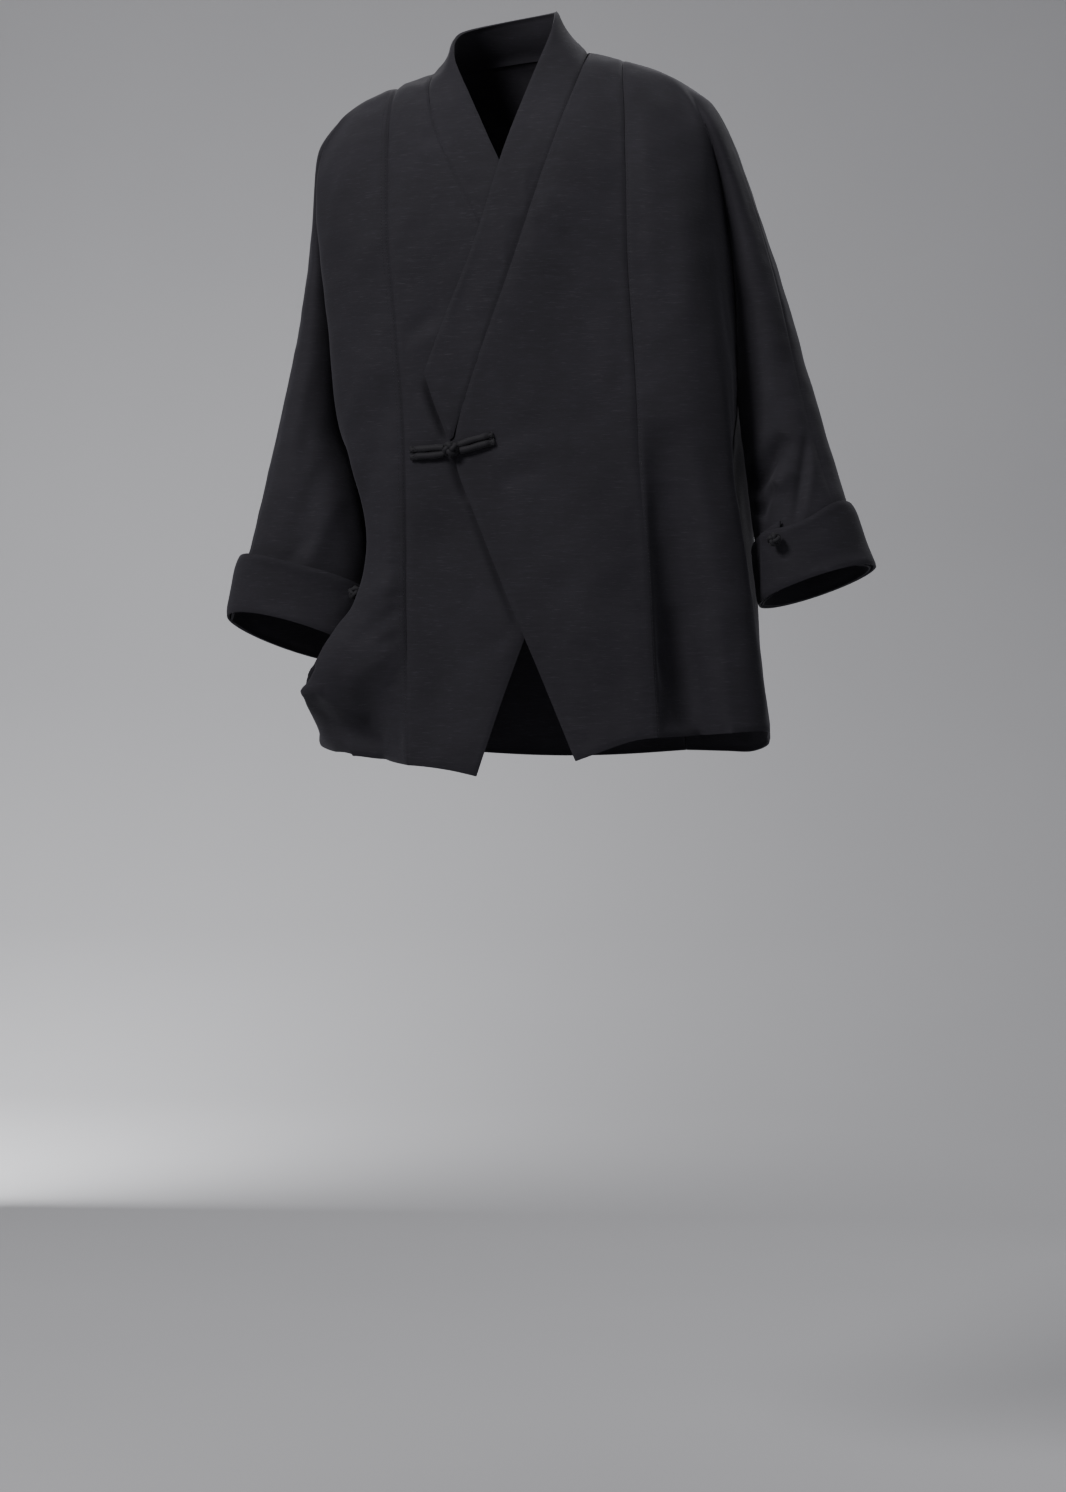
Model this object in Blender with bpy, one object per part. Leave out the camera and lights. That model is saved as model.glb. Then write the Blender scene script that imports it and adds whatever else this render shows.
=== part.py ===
"""A hip-length cross-collar jacket as worn: wide batwing sleeves with turned-back cuffs, a band collar
that crosses left over right, cutaway front edges and one corded frog.

Origin: the middle of the neck base, at shoulder height. +X is the wearer's left, -Y the front, +Z up.
Sizes are in millimetres and become metres when a mesh is made.
"""

import bmesh
import bpy
import numpy as np

MM = 0.001

# Points on each span of a smooth curve
DENSE = 16

# Cloth
CLOTH = 1.6
BAND_CLOTH = 2.4
SEAM_GAP = 0.3
LAP = 1.7
LAP_REACH = 24.0
LAP_STARTS = -40.0
LAP_FULL = -105.0

# Share of half the gap by which a border point is drawn in, by how many faces meet at it: at a corner
# one, along an edge two, and at the armpit more
INSET_BY_FACES = {1: 1.41, 2: 1.0}
ARMPIT_INSET = 2.4

# Rows and columns of the walls
ROWS_ABOVE = 12
ROWS_BELOW = 12
ROWS_SLEEVE = 8
ROW_CROWDING = 1.25
PANEL_COLUMNS = 7
NECK_COLUMNS = 8
SLEEVE_COLUMNS = 7
BAND_COLUMNS = 3
FROG_ROW = ROWS_ABOVE + 1

# How far front and back stand from the shoulder line, by the drop below it
DROP = (0, 4, 14, 38, 80, 150, 220, 320, 450, 600, 740)
FRONT_OUT = (-5, 11, 30, 56, 83, 108, 119, 126, 129, 131, 132)
BACK_OUT = (5, 21, 40, 66, 89, 105, 110, 112, 112, 114, 117)
FRONT_CROWN = 9.0
BACK_CROWN = 8.0
CROWN_DROP = 160.0
PANEL_BOW = 12.0
BACK_TWIST = 13.0 / 700

# Top of the shoulders: across, height. The wearer's left shoulder is held higher
SHOULDER = (
    (-203, -89), (-188, -66), (-173, -49), (-142, -29), (-122, -21), (-86, -7), (-40, 3), (0, 7),
    (40, 10), (78, 8), (113, -2), (149, -14), (174, -28), (197, -44), (212, -62), (219, -75),
)
SHOULDER_Y = 5.0
CAP_REACH = 24.0
CAP_DROP = 7.0
CAP_SHARE = 0.2
NECK_CAP_REACH = 7.0
NECK_CAP_DROP = 13.0

# Where the lines of each side start on the shoulder seam
STARTS = {
    "left": dict(seam=113, groove=125, swell=137, ridge=150, tuck=164, fold=178, over=203),
    "right": dict(seam=-122, groove=-131, swell=-140, ridge=-149, tuck=-160, fold=-171, over=-192),
}
OUTWARD = {"left": 1, "right": -1}

# Body sections from shoulder to armpit: height, panel seam, front ridge and back ridge
UPPER = {
    "left": (
        (-60, 127, 182, -42, 176, 45),
        (-100, 131, 191, -66, 188, 66),
        (-141, 135, 194, -85, 194, 80),
        (-180, 137, 202, -95, 202, 88),
        (-222, 139, 210, -99, 208, 92),
        (-270, 143, 219, -101, 214, 95),
        (-315, 147, 229, -102, 220, 96),
        (-362, 150, 236, -101, 225, 96),
    ),
    "right": (
        (-78, -114, -180, -40, -176, 44),
        (-112, -110, -191, -54, -184, 62),
        (-150, -106, -191, -64, -190, 74),
        (-200, -103, -184, -72, -192, 84),
        (-250, -96, -176, -79, -192, 90),
        (-310, -90, -166, -86, -191, 93),
        (-372, -84, -156, -90, -190, 94),
    ),
}

# Body sections from armpit to hem: height, panel seam, depth of the groove beside it, front ridge,
# tuck behind the ridge, side seam, back ridge. The last row is at the hem
LOWER = {
    "left": (
        (-420, 153, 6, 243, -98, 233, -60, 223, 0, 228, 92),
        (-480, 158, 15, 251, -94, 240, -58, 231, 0, 231, 88),
        (-540, 163, 23, 258, -90, 248, -55, 240, 0, 234, 84),
        (-590, 166, 29, 263, -87, 255, -50, 246, 0, 236, 80),
        (-640, 169, 34, 268, -85, 264, -44, 256, 0, 237, 74),
        (-690, 172, 36, 273, -83, 270, -42, 263, 2, 236, 68),
    ),
    "right": (
        (-430, -82, 0, -147, -94, -136, -58, -140, -10, -188, 92),
        (-490, -81, 0, -131, -100, -113, -68, -116, -10, -186, 90),
        (-556, -81, 0, -143, -108, -112, -78, -111, -8, -184, 86),
        (-590, -80, 0, -170, -114, -118, -92, -112, -8, -184, 84),
        (-620, -80, 2, -188, -112, -128, -86, -120, -8, -185, 82),
        (-646, -80, 9, -205, -97, -180, -54, -160, -6, -187, 80),
        (-674, -80, 24, -195, -64, -198, -38, -190, -6, -189, 77),
        (-703, -80, 30, -180, -57, -197, -36, -198, -8, -190, 74),
    ),
}
HEM = {
    "left": dict(seam=-690, ridge=-683, side=-690, back_ridge=-704, back_seam=-702),
    "right": dict(seam=-717, ridge=-703, side=-690, back_ridge=-694, back_seam=-702),
}
GROOVE_SHARE = 0.34
SWELL_SHARE = 0.68
BACK_LEVELS = [row[0] for row in UPPER["left"] + LOWER["left"][:-1]]
BACK_HEM_DIP = 6.0
# Rows of the back over which its lines spread from the neck to even spacing
BACK_SPREADS = 4
# How far outside the middle of ridge and fold the tuck between them lies, at the front and behind
TUCK_PUFF = (5, 4)
BACK_TUCK_PUFF = (8, 6)
# Share of the way down to the armpit over which that grows
PUFF_GROWS = 1 / 3
# A point this far inward of a panel seam carries the curve across it
SEAM_INWARD = 35.0

# Sleeve rings from the shoulder to the cuff's rim: outer x and z, inner x and z, middle y, depth,
# how much the front stands higher than the back, and how far round from the outer side it is closed
SLEEVE = {
    "left": (
        (219, -75, 196, -78, 0, 88, 0, 112),
        (237, -120, 213, -122, 0, 82, 0, 140),
        (255, -170, 222, -172, 0, 84, 0, 156),
        (280, -245, 230, -250, -2, 94, 0, 168),
        (308, -336, 232, -356, -8, 104, 0, 180),
        (325, -393, 241, -420, -18, 106, 2, 180),
        (338, -436, 248, -468, -28, 103, 8, 180),
        (348, -462, 254, -503, -37, 99, 12, 180),
        (361, -498, 258, -537, -40, 100, 9, 180),
        (373, -520, 260, -559, -41, 101, 6, 180),
    ),
    "right": (
        (-201, -91, -184, -94, -2, 84, 0, 112),
        (-206, -130, -188, -132, 0, 78, 0, 137),
        (-211, -182, -185, -184, 0, 80, 0, 151),
        (-220, -256, -178, -260, -4, 92, 0, 163),
        (-231, -318, -175, -324, -12, 100, 0, 174),
        (-241, -372, -172, -386, -20, 104, 3, 180),
        (-250, -420, -152, -440, -32, 104, 8, 180),
        (-259, -468, -139, -496, -42, 102, 13, 180),
        (-269, -514, -136, -550, -48, 100, 17, 180),
        (-287, -569, -140, -608, -49, 100, 18, 180),
    ),
}
SLEEVE_SPLIT = {"left": 5, "right": 6}
OVERARM_ANGLE = {"left": -40, "right": -30}
OVERARM_SETTLES = 4

# Cross collar. Rows from the shoulder down: seam across, seam height, edge across, edge height and,
# where the band stands up from the chest, the edge's y
BAND = {
    "over": (
        (78, 8, 46, 50, -4),
        (79, -19, 48, 28, -32),
        (71, -58, 37, -8, -52),
        (59, -108, 22, -60, -78),
        (47, -152, 9, -115, None),
        (34, -196, -4, -172, None),
        (20, -240, -22, -226, None),
        (4, -284, -42, -273, None),
        (-10, -324, -63, -329, None),
        (-21, -358, -51, -364, None),
        (-32, -394, -38, -398, None),
    ),
    "under": (
        (-86, -7, -61, 29, -4),
        (-79, -34, -60, 10, -32),
        (-70, -62, -46, -16, -52),
        (-58, -90, -29, -47, -69),
        (-44, -118, -10, -84, -87),
        (-28, -146, 9, -119, None),
        (-6, -184, 32, -160, None),
        (20, -236, 58, -214, None),
        (46, -284, 86, -264, None),
        (66, -322, 120, -329, None),
        (82, -356, 114, -364, None),
        (98, -394, 104, -398, None),
    ),
}
BAND_CORNER = {"over": 8, "under": 9}
NECK_AXIS = (-8, 0)
BAND_HOLLOW = 4.0
BAND_STANDS = 40.0
BAND_STANDS_ABOVE = -60.0
BAND_FLAT_FROM = -85.0
BAND_FLAT_BELOW = -120.0
# Band behind the neck, from the left shoulder to the right: seam x, y, z and edge x, y, z
NECK = (
    (78, 5, 8, 46, -4, 50),
    (64, 40, 12, 41, 22, 54),
    (36, 60, 14, 24, 39, 55),
    (-4, 66, 12, -6, 44, 52),
    (-44, 60, 6, -35, 37, 46),
    (-72, 38, -1, -55, 17, 38),
    (-86, 5, -7, -61, -4, 29),
)
# Cutaway front edges below the frog: across, height
CUTAWAY = {
    "over": ((-32, -394), (-31, -418), (-14, -458), (10, -517), (41, -591), (66, -650), (92, -713)),
    "under": ((98, -394), (100, -418), (88, -456), (68, -517), (40, -594), (16, -658), (-8, -728)),
}
SIDE_OF = {"over": "left", "under": "right"}
LAP_SIGN = {"over": -1, "under": 1}

# Turned-back cuffs: height of the turn-up, flare at its top edge, where its lapped end sits round the arm
# at the rim, how much further round it is at the top, and how far the top edge sags at the front
CUFF = {
    "left": dict(height=64, flare=2, end_angle=-150, end_slant=18, sag=11),
    "right": dict(height=61, flare=6, end_angle=-164, end_slant=0, sag=3),
}
CUFF_SAG_ANGLE = -85.0
CUFF_SAG_REACH = 52.0
CUFF_CLEAR = 0.8
CUFF_LAP_CLEAR = 0.85
CUFF_LAP_SETTLES = 30.0
CUFF_LAP_EASE = 4.0
CUFF_LAP_ANGLE = 24.0
CUFF_TURN = 360 + CUFF_LAP_ANGLE
CUFF_COLUMNS = 30
CUFF_ROWS = 3
CUFF_KNOT_RADIUS = 6.8
CUFF_KNOT_COLUMN = 2
CUFF_KNOT_DROP = 10.0

# Frog: two cords side by side in each bar, and a knot ball between the bars
FROG_KNOT = (-32, -407)
FROG_KNOT_RADIUS = 8.0
FROG_LEFT_END = (-76, -409)
FROG_RIGHT_END = (10, -396)
CORD_RADIUS = 3.7
CORD_PRESSED = 0.62
CORD_CORNERS = 6
CORD_OPEN_ANGLE = 80.0
CORD_PRESSED_SHARE = 0.25
BAR_STATIONS = 7
KNOT_DEPTH = 0.85
KNOT_SEGMENTS = 14
KNOT_RINGS = 8
KNOT_ON_EDGE = 6.0
REST_GAP = 0.35


def spans(before, start, end, after, shares):
    """One span of a centripetal Catmull-Rom curve."""
    gaps = [np.sqrt(max(np.linalg.norm(b - a), 1e-6)) for a, b in ((before, start), (start, end), (end, after))]
    leave = (start - before) / gaps[0] - (end - before) / (gaps[0] + gaps[1]) + (end - start) / gaps[1]
    reach = (end - start) / gaps[1] - (after - start) / (gaps[1] + gaps[2]) + (after - end) / gaps[2]
    t = np.asarray(shares)[:, None]
    return (
        (2 * t**3 - 3 * t**2 + 1) * start
        + (t**3 - 2 * t**2 + t) * gaps[1] * leave
        + (3 * t**2 - 2 * t**3) * end
        + (t**3 - t**2) * gaps[1] * reach
    )


def smooth_path(rows):
    """Closely spaced points on a smooth curve through the rows, DENSE to each span."""
    rows = np.asarray(rows, float)
    rows = np.vstack([2 * rows[0] - rows[1], rows, 2 * rows[-1] - rows[-2]])
    shares = np.arange(DENSE) / DENSE
    pieces = [spans(*rows[i : i + 4], shares) for i in range(len(rows) - 3)]
    return np.vstack(pieces + [rows[-2:-1]])


def along(path, shares, measured=3):
    """Points at these shares of a path's length, which its first columns measure."""
    steps = np.linalg.norm(np.diff(path[:, :measured], axis=0), axis=1)
    lengths = np.concatenate([[0], np.cumsum(steps)])
    wanted = np.asarray(shares) * lengths[-1]
    return np.stack([np.interp(wanted, lengths, column) for column in path.T], axis=1)


def crowded(count):
    return (np.arange(count + 1) / count) ** ROW_CROWDING


def even(count):
    return np.arange(count + 1) / count


def split_rows(rows, split, above, below):
    """Rows crowded towards the top down to row `split`, then even ones below it."""
    path = smooth_path(rows)
    cut = split * DENSE
    return np.vstack([along(path[: cut + 1], crowded(above)), along(path[cut:], even(below))[1:]])


def forked_rows(rows, split, above, below):
    """The same, where front and back take their own ways above row `split` and share one line below it."""
    upper, lower = smooth_path(rows[: split + 1]), smooth_path(rows[split:])
    return np.vstack([along(upper, crowded(above)), along(lower, even(below))[1:]])


def soft_step(x):
    x = np.clip(x, 0, 1)
    return x * x * (3 - 2 * x)


SHOULDER_PATH = smooth_path(SHOULDER)
FRONT_PROFILE = smooth_path(list(zip(DROP, FRONT_OUT)))
BACK_PROFILE = smooth_path(list(zip(DROP, BACK_OUT)))


def shoulder_z(x):
    return np.interp(x, SHOULDER_PATH[:, 0], SHOULDER_PATH[:, 1])


def shoulder_point(x):
    return np.array([x, SHOULDER_Y, shoulder_z(x)])


def seam_x(side, z):
    """Where the front panel seam of this side is at a height."""
    start = STARTS[side]["seam"]
    rows = [(shoulder_z(start), start)]
    rows += [(row[0], row[1]) for row in UPPER[side]]
    rows += [(row[0], row[1]) for row in LOWER[side]]
    rows = np.array(rows, float)[::-1]
    return np.interp(z, rows[:, 0], rows[:, 1])


def across_share(x, z):
    """-1 at the right panel seam, 1 at the left one."""
    low, high = seam_x("right", z), seam_x("left", z)
    return (2 * x - low - high) / (high - low)


def front_y(x, z):
    drop = shoulder_z(x) - z
    crown = FRONT_CROWN * soft_step(drop / CROWN_DROP) * np.clip(1 - across_share(x, z) ** 2, 0, 1)
    return -np.interp(drop, FRONT_PROFILE[:, 0], FRONT_PROFILE[:, 1]) - crown


def back_y(x, z):
    drop = shoulder_z(x) - z
    crown = BACK_CROWN * soft_step(drop / CROWN_DROP) * np.clip(1 - across_share(x, z) ** 2, 0, 1)
    return np.interp(drop, BACK_PROFILE[:, 0], BACK_PROFILE[:, 1]) + crown


def lap_y(x, z, layer):
    """The chest surface of the over or the under front, which lie clear of each other."""
    room = abs(seam_x(SIDE_OF[layer], z) - x)
    lift = LAP * soft_step(room / LAP_REACH) * soft_step((z - LAP_STARTS) / (LAP_FULL - LAP_STARTS))
    return front_y(x, z) + LAP_SIGN[layer] * lift


def ring_point(ring, angle):
    """A point on a sleeve ring; 0 is its outer side and -90 degrees its front."""
    outer_x, outer_z, inner_x, inner_z, middle_y, depth, tilt = ring[:7]
    turn = np.radians(angle)
    return np.array([
        (outer_x + inner_x) / 2 + np.cos(turn) * (outer_x - inner_x) / 2,
        middle_y + np.sin(turn) * depth / 2,
        (outer_z + inner_z) / 2 + np.cos(turn) * (outer_z - inner_z) / 2 - np.sin(turn) * tilt,
    ])


def sleeve_column(side, share, facing):
    """One lengthwise line of the sleeve: share 0 is the fold by the body, 1 the overarm seam."""
    starts = STARTS[side]
    rows = [shoulder_point(starts["fold"] + share * (starts["over"] - starts["fold"]))]
    for i, ring in enumerate(SLEEVE[side]):
        closed_to = facing * ring[7]
        overarm = OVERARM_ANGLE[side] * min(1, i / OVERARM_SETTLES)
        rows.append(ring_point(ring, closed_to + share * (overarm - closed_to)))
    rows.insert(1, cap_point(rows[0], rows[1], 1 - share) if share < 1 else (rows[0] + rows[1]) / 2)
    divide = forked_rows if share == 0 else split_rows
    return divide(rows, SLEEVE_SPLIT[side] + 1, ROWS_ABOVE, ROWS_SLEEVE)


def cap_point(start, after, amount=1.0):
    """A point just over the top of the shoulder, on the way from the seam to the first section."""
    x, y, z = start
    forward = np.sign(after[1] - y) * CAP_REACH * amount
    return np.array([x + CAP_SHARE * (after[0] - x), y + forward, z - CAP_DROP * amount])


def body_line(start, upper, lower):
    """A line of the body from its start on the shoulder seam to the hem."""
    start = shoulder_point(start)
    rows = [start, cap_point(start, upper[0])] + list(upper) + list(lower)
    return split_rows(rows, len(upper) + 1, ROWS_ABOVE, ROWS_BELOW)


def side_lines(side, facing):
    """The lines of one side from panel seam to side seam. facing -1 is the front, 1 the back."""
    starts, hem, out = STARTS[side], HEM[side], OUTWARD[side]
    front = facing < 0
    seam_hem = hem["seam"] if front else hem["back_seam"]
    ridge_hem = hem["ridge"] if front else hem["back_ridge"]
    seam, ridge, groove_depth = [], [], []
    for row in UPPER[side]:
        seam.append((row[1], row[0]))
        ridge.append((row[2], row[3], row[0]) if front else (row[4], row[5], row[0]))
        groove_depth.append(0)
    tucks, sides = [], []
    for i, row in enumerate(LOWER[side]):
        last = i == len(LOWER[side]) - 1
        seam.append((row[1], seam_hem if last else row[0]))
        ridge_z = ridge_hem if last else row[0]
        side_z = hem["side"] if last else row[0]
        ridge.append((row[3], row[4], ridge_z) if front else (row[9], row[10], ridge_z))
        groove_depth.append(row[2] if front else 0)
        sides.append((row[7], row[8], side_z))
        tucks.append((row[5], row[6], (ridge_z + side_z) / 2))
    if not front:
        seam = [(x + BACK_TWIST * z, z) for x, z in seam]
        puff = np.array([out * BACK_TUCK_PUFF[0], BACK_TUCK_PUFF[1], 0])
        tucks = [(np.array(r) + np.array(s)) / 2 + puff for r, s in zip(ridge[len(UPPER[side]) :], sides)]
    surface = front_y if front else back_y
    seam = [np.array([x, surface(x, z), z]) for x, z in seam]
    ridge = [np.array(p, float) for p in ridge]

    def between(share):
        bow = facing * PANEL_BOW * 4 * share * (1 - share)
        return [(1 - share) * a + share * b + np.array([0, bow, 0]) for a, b in zip(seam, ridge)]

    groove = [p + np.array([0, depth, 0]) for p, depth in zip(between(GROOVE_SHARE), groove_depth)]
    swell = between(SWELL_SHARE)
    count = len(UPPER[side])
    lines = {
        name: body_line(starts[name], rows[:count], rows[count:])
        for name, rows in (("seam", seam), ("groove", groove), ("swell", swell), ("ridge", ridge))
    }
    lines["seam"][1:, 1] = surface(lines["seam"][1:, 0], lines["seam"][1:, 2])
    sleeve = sleeve_column(side, 0, facing)
    armpit = sleeve[ROWS_ABOVE]
    lines["fold"] = np.vstack([sleeve[:ROWS_ABOVE], along(smooth_path([armpit] + sides), even(ROWS_BELOW))])
    puff = soft_step(even(ROWS_ABOVE) / PUFF_GROWS)[:, None] * np.array([out * TUCK_PUFF[0], facing * TUCK_PUFF[1], 0])
    upper_tuck = (lines["ridge"][: ROWS_ABOVE + 1] + lines["fold"][: ROWS_ABOVE + 1]) / 2 + puff
    upper_tuck[0] = shoulder_point(starts["tuck"])
    lower_tuck = split_rows([upper_tuck[-2], upper_tuck[-1]] + tucks, 1, 1, ROWS_BELOW)[2:]
    lines["tuck"] = np.vstack([upper_tuck, lower_tuck])
    return lines


LINE_ORDER = ("seam", "groove", "swell", "ridge", "tuck", "fold")


def side_grids(side, facing):
    """The body grid and the sleeve grid of one batwing piece, as arrays of rows by columns of points."""
    lines = side_lines(side, facing)
    other_tuck = side_lines(side, -facing)["tuck"]
    surface = front_y if facing < 0 else back_y
    sleeve_columns = [sleeve_column(side, c / SLEEVE_COLUMNS, facing) for c in range(SLEEVE_COLUMNS + 1)]
    body = []
    for r in range(ROWS_ABOVE + ROWS_BELOW + 1):
        seam = lines["seam"][r]
        inward_x = seam[0] - OUTWARD[side] * SEAM_INWARD
        inward = np.array([inward_x, surface(inward_x, seam[2]), seam[2]])
        beyond = sleeve_columns[1][r] if r < ROWS_ABOVE else other_tuck[r]
        knots = [inward] + [lines[name][r] for name in LINE_ORDER] + [beyond]
        if r == 0:
            knots[0] = shoulder_point(inward_x)
        row = []
        for i in range(1, len(knots) - 2):
            row += list(spans(*knots[i - 1 : i + 3], (0, 0.5)))
        row.append(knots[-2])
        if r == 0:
            row = [shoulder_point(p[0]) for p in row]
        body.append(row)
    return np.array(body), np.stack(sleeve_columns, axis=1)


def band_rows(layer):
    """Stations of the band on one front, from the shoulder to the frog: seam x, z, edge x, z, y."""
    rows = [
        (sx, sz, ex, ez, lap_y(ex, ez, layer) if ey is None else ey) for sx, sz, ex, ez, ey in BAND[layer]
    ]
    path = smooth_path(rows)
    stations = along(path, crowded(FROG_ROW), measured=2)
    corner = np.array(rows[BAND_CORNER[layer]])
    nearest = np.argmin(np.abs(stations[:, 1] - corner[1]))
    stations[nearest, 2:] = corner[2:]
    return stations


def front_panel(layer):
    """The centre front panel of one side, from its inner edge to the panel seam."""
    side = SIDE_OF[layer]
    seam = side_lines(side, -1)["seam"]
    stations = band_rows(layer)
    below = along(smooth_path(CUTAWAY[layer]), even(ROWS_ABOVE + ROWS_BELOW - FROG_ROW), measured=2)
    inner = np.vstack([stations[:, :2], below[1:]])
    grid = []
    for r, (edge_x, edge_z) in enumerate(inner):
        edge_drop = shoulder_z(edge_x) - edge_z
        seam_drop = shoulder_z(seam[r, 0]) - seam[r, 2]
        row = []
        for share in even(PANEL_COLUMNS):
            x = edge_x + share * (seam[r, 0] - edge_x)
            z = shoulder_z(x) - (edge_drop + share * (seam_drop - edge_drop))
            row.append(shoulder_point(x) if r == 0 else (x, lap_y(x, z, layer), z))
        row[-1] = seam[r]
        grid.append(row)
    return np.array(grid, float)


def neck_stations():
    return along(smooth_path(NECK), even(NECK_COLUMNS))


def back_panel():
    """The centre back panel, from the left panel seam round to the right one."""
    left, right = side_lines("left", 1)["seam"], side_lines("right", 1)["seam"]
    neck = neck_stations()[:, :3]
    left_x = np.linspace(left[0, 0], neck[0, 0], PANEL_COLUMNS + 1)
    right_x = np.linspace(neck[-1, 0], right[0, 0], PANEL_COLUMNS + 1)
    top = [shoulder_point(x) for x in left_x[:-1]] + list(neck) + [shoulder_point(x) for x in right_x[1:]]
    top = np.array(top)
    last = len(top) - 1
    top_share = (top[:, 0] - top[0, 0]) / (top[-1, 0] - top[0, 0])
    columns = []
    for c in range(last + 1):
        neck_share = np.clip((top[c][1] - SHOULDER_Y) / CAP_REACH, 0, 1)
        reach = CAP_REACH + neck_share * (NECK_CAP_REACH - CAP_REACH)
        fall = CAP_DROP + neck_share * (NECK_CAP_DROP - CAP_DROP)
        rows = [top[c], top[c] + np.array([0, reach, -fall])]
        hem_z = HEM["left"]["back_seam"] - BACK_HEM_DIP * np.sin(np.pi * c / last)
        for i, z in enumerate(BACK_LEVELS + [hem_z]):
            settle = soft_step((i + 1) / BACK_SPREADS)
            share = (1 - settle) * top_share[c] + settle * c / last
            ends = [seam_x(side, z) + BACK_TWIST * z for side in ("left", "right")]
            x = ends[0] + share * (ends[1] - ends[0])
            rows.append((x, back_y(x, z), z))
        columns.append(split_rows(rows, len(UPPER["left"]) + 1, ROWS_ABOVE, ROWS_BELOW))
    columns[0], columns[-1] = left, right
    return np.stack(columns, axis=1)


def hollowed(seam, edge, share):
    """A point across the band, which curves in towards the neck where it stands up."""
    point = (1 - share) * seam + share * edge
    inward = np.array([NECK_AXIS[0] - point[0], NECK_AXIS[1] - point[1], 0])
    standing = soft_step((edge[2] - seam[2]) / BAND_STANDS) * soft_step(1 - point[2] / BAND_STANDS_ABOVE)
    return point + BAND_HOLLOW * 4 * share * (1 - share) * standing * inward / np.linalg.norm(inward)


def band_grid():
    """The whole band: down the over front, round the neck and down the under front."""
    def chest(layer):
        rows = []
        for sx, sz, ex, ez, ey in band_rows(layer):
            on_shoulder = sz > shoulder_z(sx) - 0.01
            start = shoulder_point(sx) if on_shoulder else np.array([sx, lap_y(sx, sz, layer), sz])
            row = []
            for share in even(BAND_COLUMNS):
                x, y, z = hollowed(start, np.array([ex, ey, ez]), share)
                flat = soft_step((z - BAND_FLAT_FROM) / (BAND_FLAT_BELOW - BAND_FLAT_FROM))
                row.append((x, (1 - flat) * y + flat * lap_y(x, z, layer), z))
            row[0] = start
            rows.append(row)
        return rows

    neck = [[hollowed(p[:3], p[3:], s) for s in even(BAND_COLUMNS)] for p in neck_stations()]
    return np.array(chest("over")[::-1] + neck[1:-1] + chest("under"), float)


def quads_of(grids):
    quads = [
        np.stack([grid[:-1, :-1], grid[1:, :-1], grid[1:, 1:], grid[:-1, 1:]], axis=2).reshape(-1, 4, 3)
        for grid in grids
    ]
    return np.concatenate(quads)


def face_normals(quads):
    return np.cross(quads[:, 2] - quads[:, 0], quads[:, 3] - quads[:, 1])


def place_key(point):
    return tuple(np.round(point, 2))


def facing_out(quads, outward):
    """The quads, turned over where they face away from this direction."""
    return quads if face_normals(quads).sum(axis=0) @ np.array(outward) > 0 else quads[:, ::-1]


def shared_normals(pieces):
    """A normal for each place, taken over every piece that meets there, so that seam edges are parallel."""
    sums = {}
    for quads in pieces:
        for corners, normal in zip(quads, face_normals(quads)):
            for corner in corners:
                key = place_key(corner)
                sums[key] = sums.get(key, 0) + normal
    return {key: total / np.linalg.norm(total) for key, total in sums.items()}


def inset_points(points, faces):
    """Border points drawn in by half of the seam gap, each along its own cloth."""
    edges = {}
    for face in faces:
        for a, b in zip(face, np.roll(face, -1)):
            edges[(a, b)] = face
    border = {a: b for a, b in edges if (b, a) not in edges}
    before = {b: a for a, b in border.items()}
    touching = {a: [] for a in border}
    for face in faces:
        for a in face:
            if a in touching:
                touching[a].append(points[face].mean(axis=0))
    moved = points.copy()
    for a, b in border.items():
        run = points[b] - points[before[a]]
        run /= np.linalg.norm(run)
        into = np.mean(touching[a], axis=0) - points[a]
        into -= run * (into @ run)
        reach = SEAM_GAP / 2 * INSET_BY_FACES.get(len(touching[a]), ARMPIT_INSET)
        moved[a] += reach * into / np.linalg.norm(into)
    return moved, border


def cloth_object(name, quads, normals, thickness, material):
    """A wall of cloth inward from these outer faces."""
    keys, points, faces = {}, [], []
    for quad in quads:
        face = []
        for corner in quad:
            key = place_key(corner)
            if key not in keys:
                keys[key] = len(points)
                points.append(corner)
            face.append(keys[key])
        faces.append(face)
    points = np.array(points)
    outward = np.array([normals[key] for key in keys])
    outer, border = inset_points(points, np.array(faces))
    inner = outer - thickness * outward
    count = len(points)
    walls = faces + [[i + count for i in face[::-1]] for face in faces]
    places = list(keys)
    for a, b in border.items():
        # Both pieces at a seam split its rim along the same diagonal, so that the two rims stay parallel
        if places[a] < places[b]:
            walls += [[b, a, b + count], [a, a + count, b + count]]
        else:
            walls += [[b, a, a + count], [b, a + count, b + count]]
    return mesh_object(name, np.vstack([outer, inner]), walls, material)


def mesh_object(name, points, faces, material):
    mesh = bpy.data.meshes.new(name)
    mesh.from_pydata((np.asarray(points) * MM).tolist(), [], [[int(i) for i in face] for face in faces])
    mesh.materials.append(material)
    mesh.validate()
    mesh.shade_smooth()
    mesh.set_sharp_from_angle(angle=np.radians(50))
    obj = bpy.data.objects.new(name, mesh)
    bpy.context.scene.collection.objects.link(obj)
    return obj


def cuff_ring(side, up):
    """The sleeve ring this far up from its rim, in millimetres along its outer side."""
    rings = np.array([ring[:7] for ring in SLEEVE[side]], float)[::-1]
    path = smooth_path(rings)
    steps = np.hypot(np.diff(path[:, 0]), np.diff(path[:, 1]))
    lengths = np.concatenate([[0], np.cumsum(steps)])
    return np.array([np.interp(up, lengths, column) for column in path.T])


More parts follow.
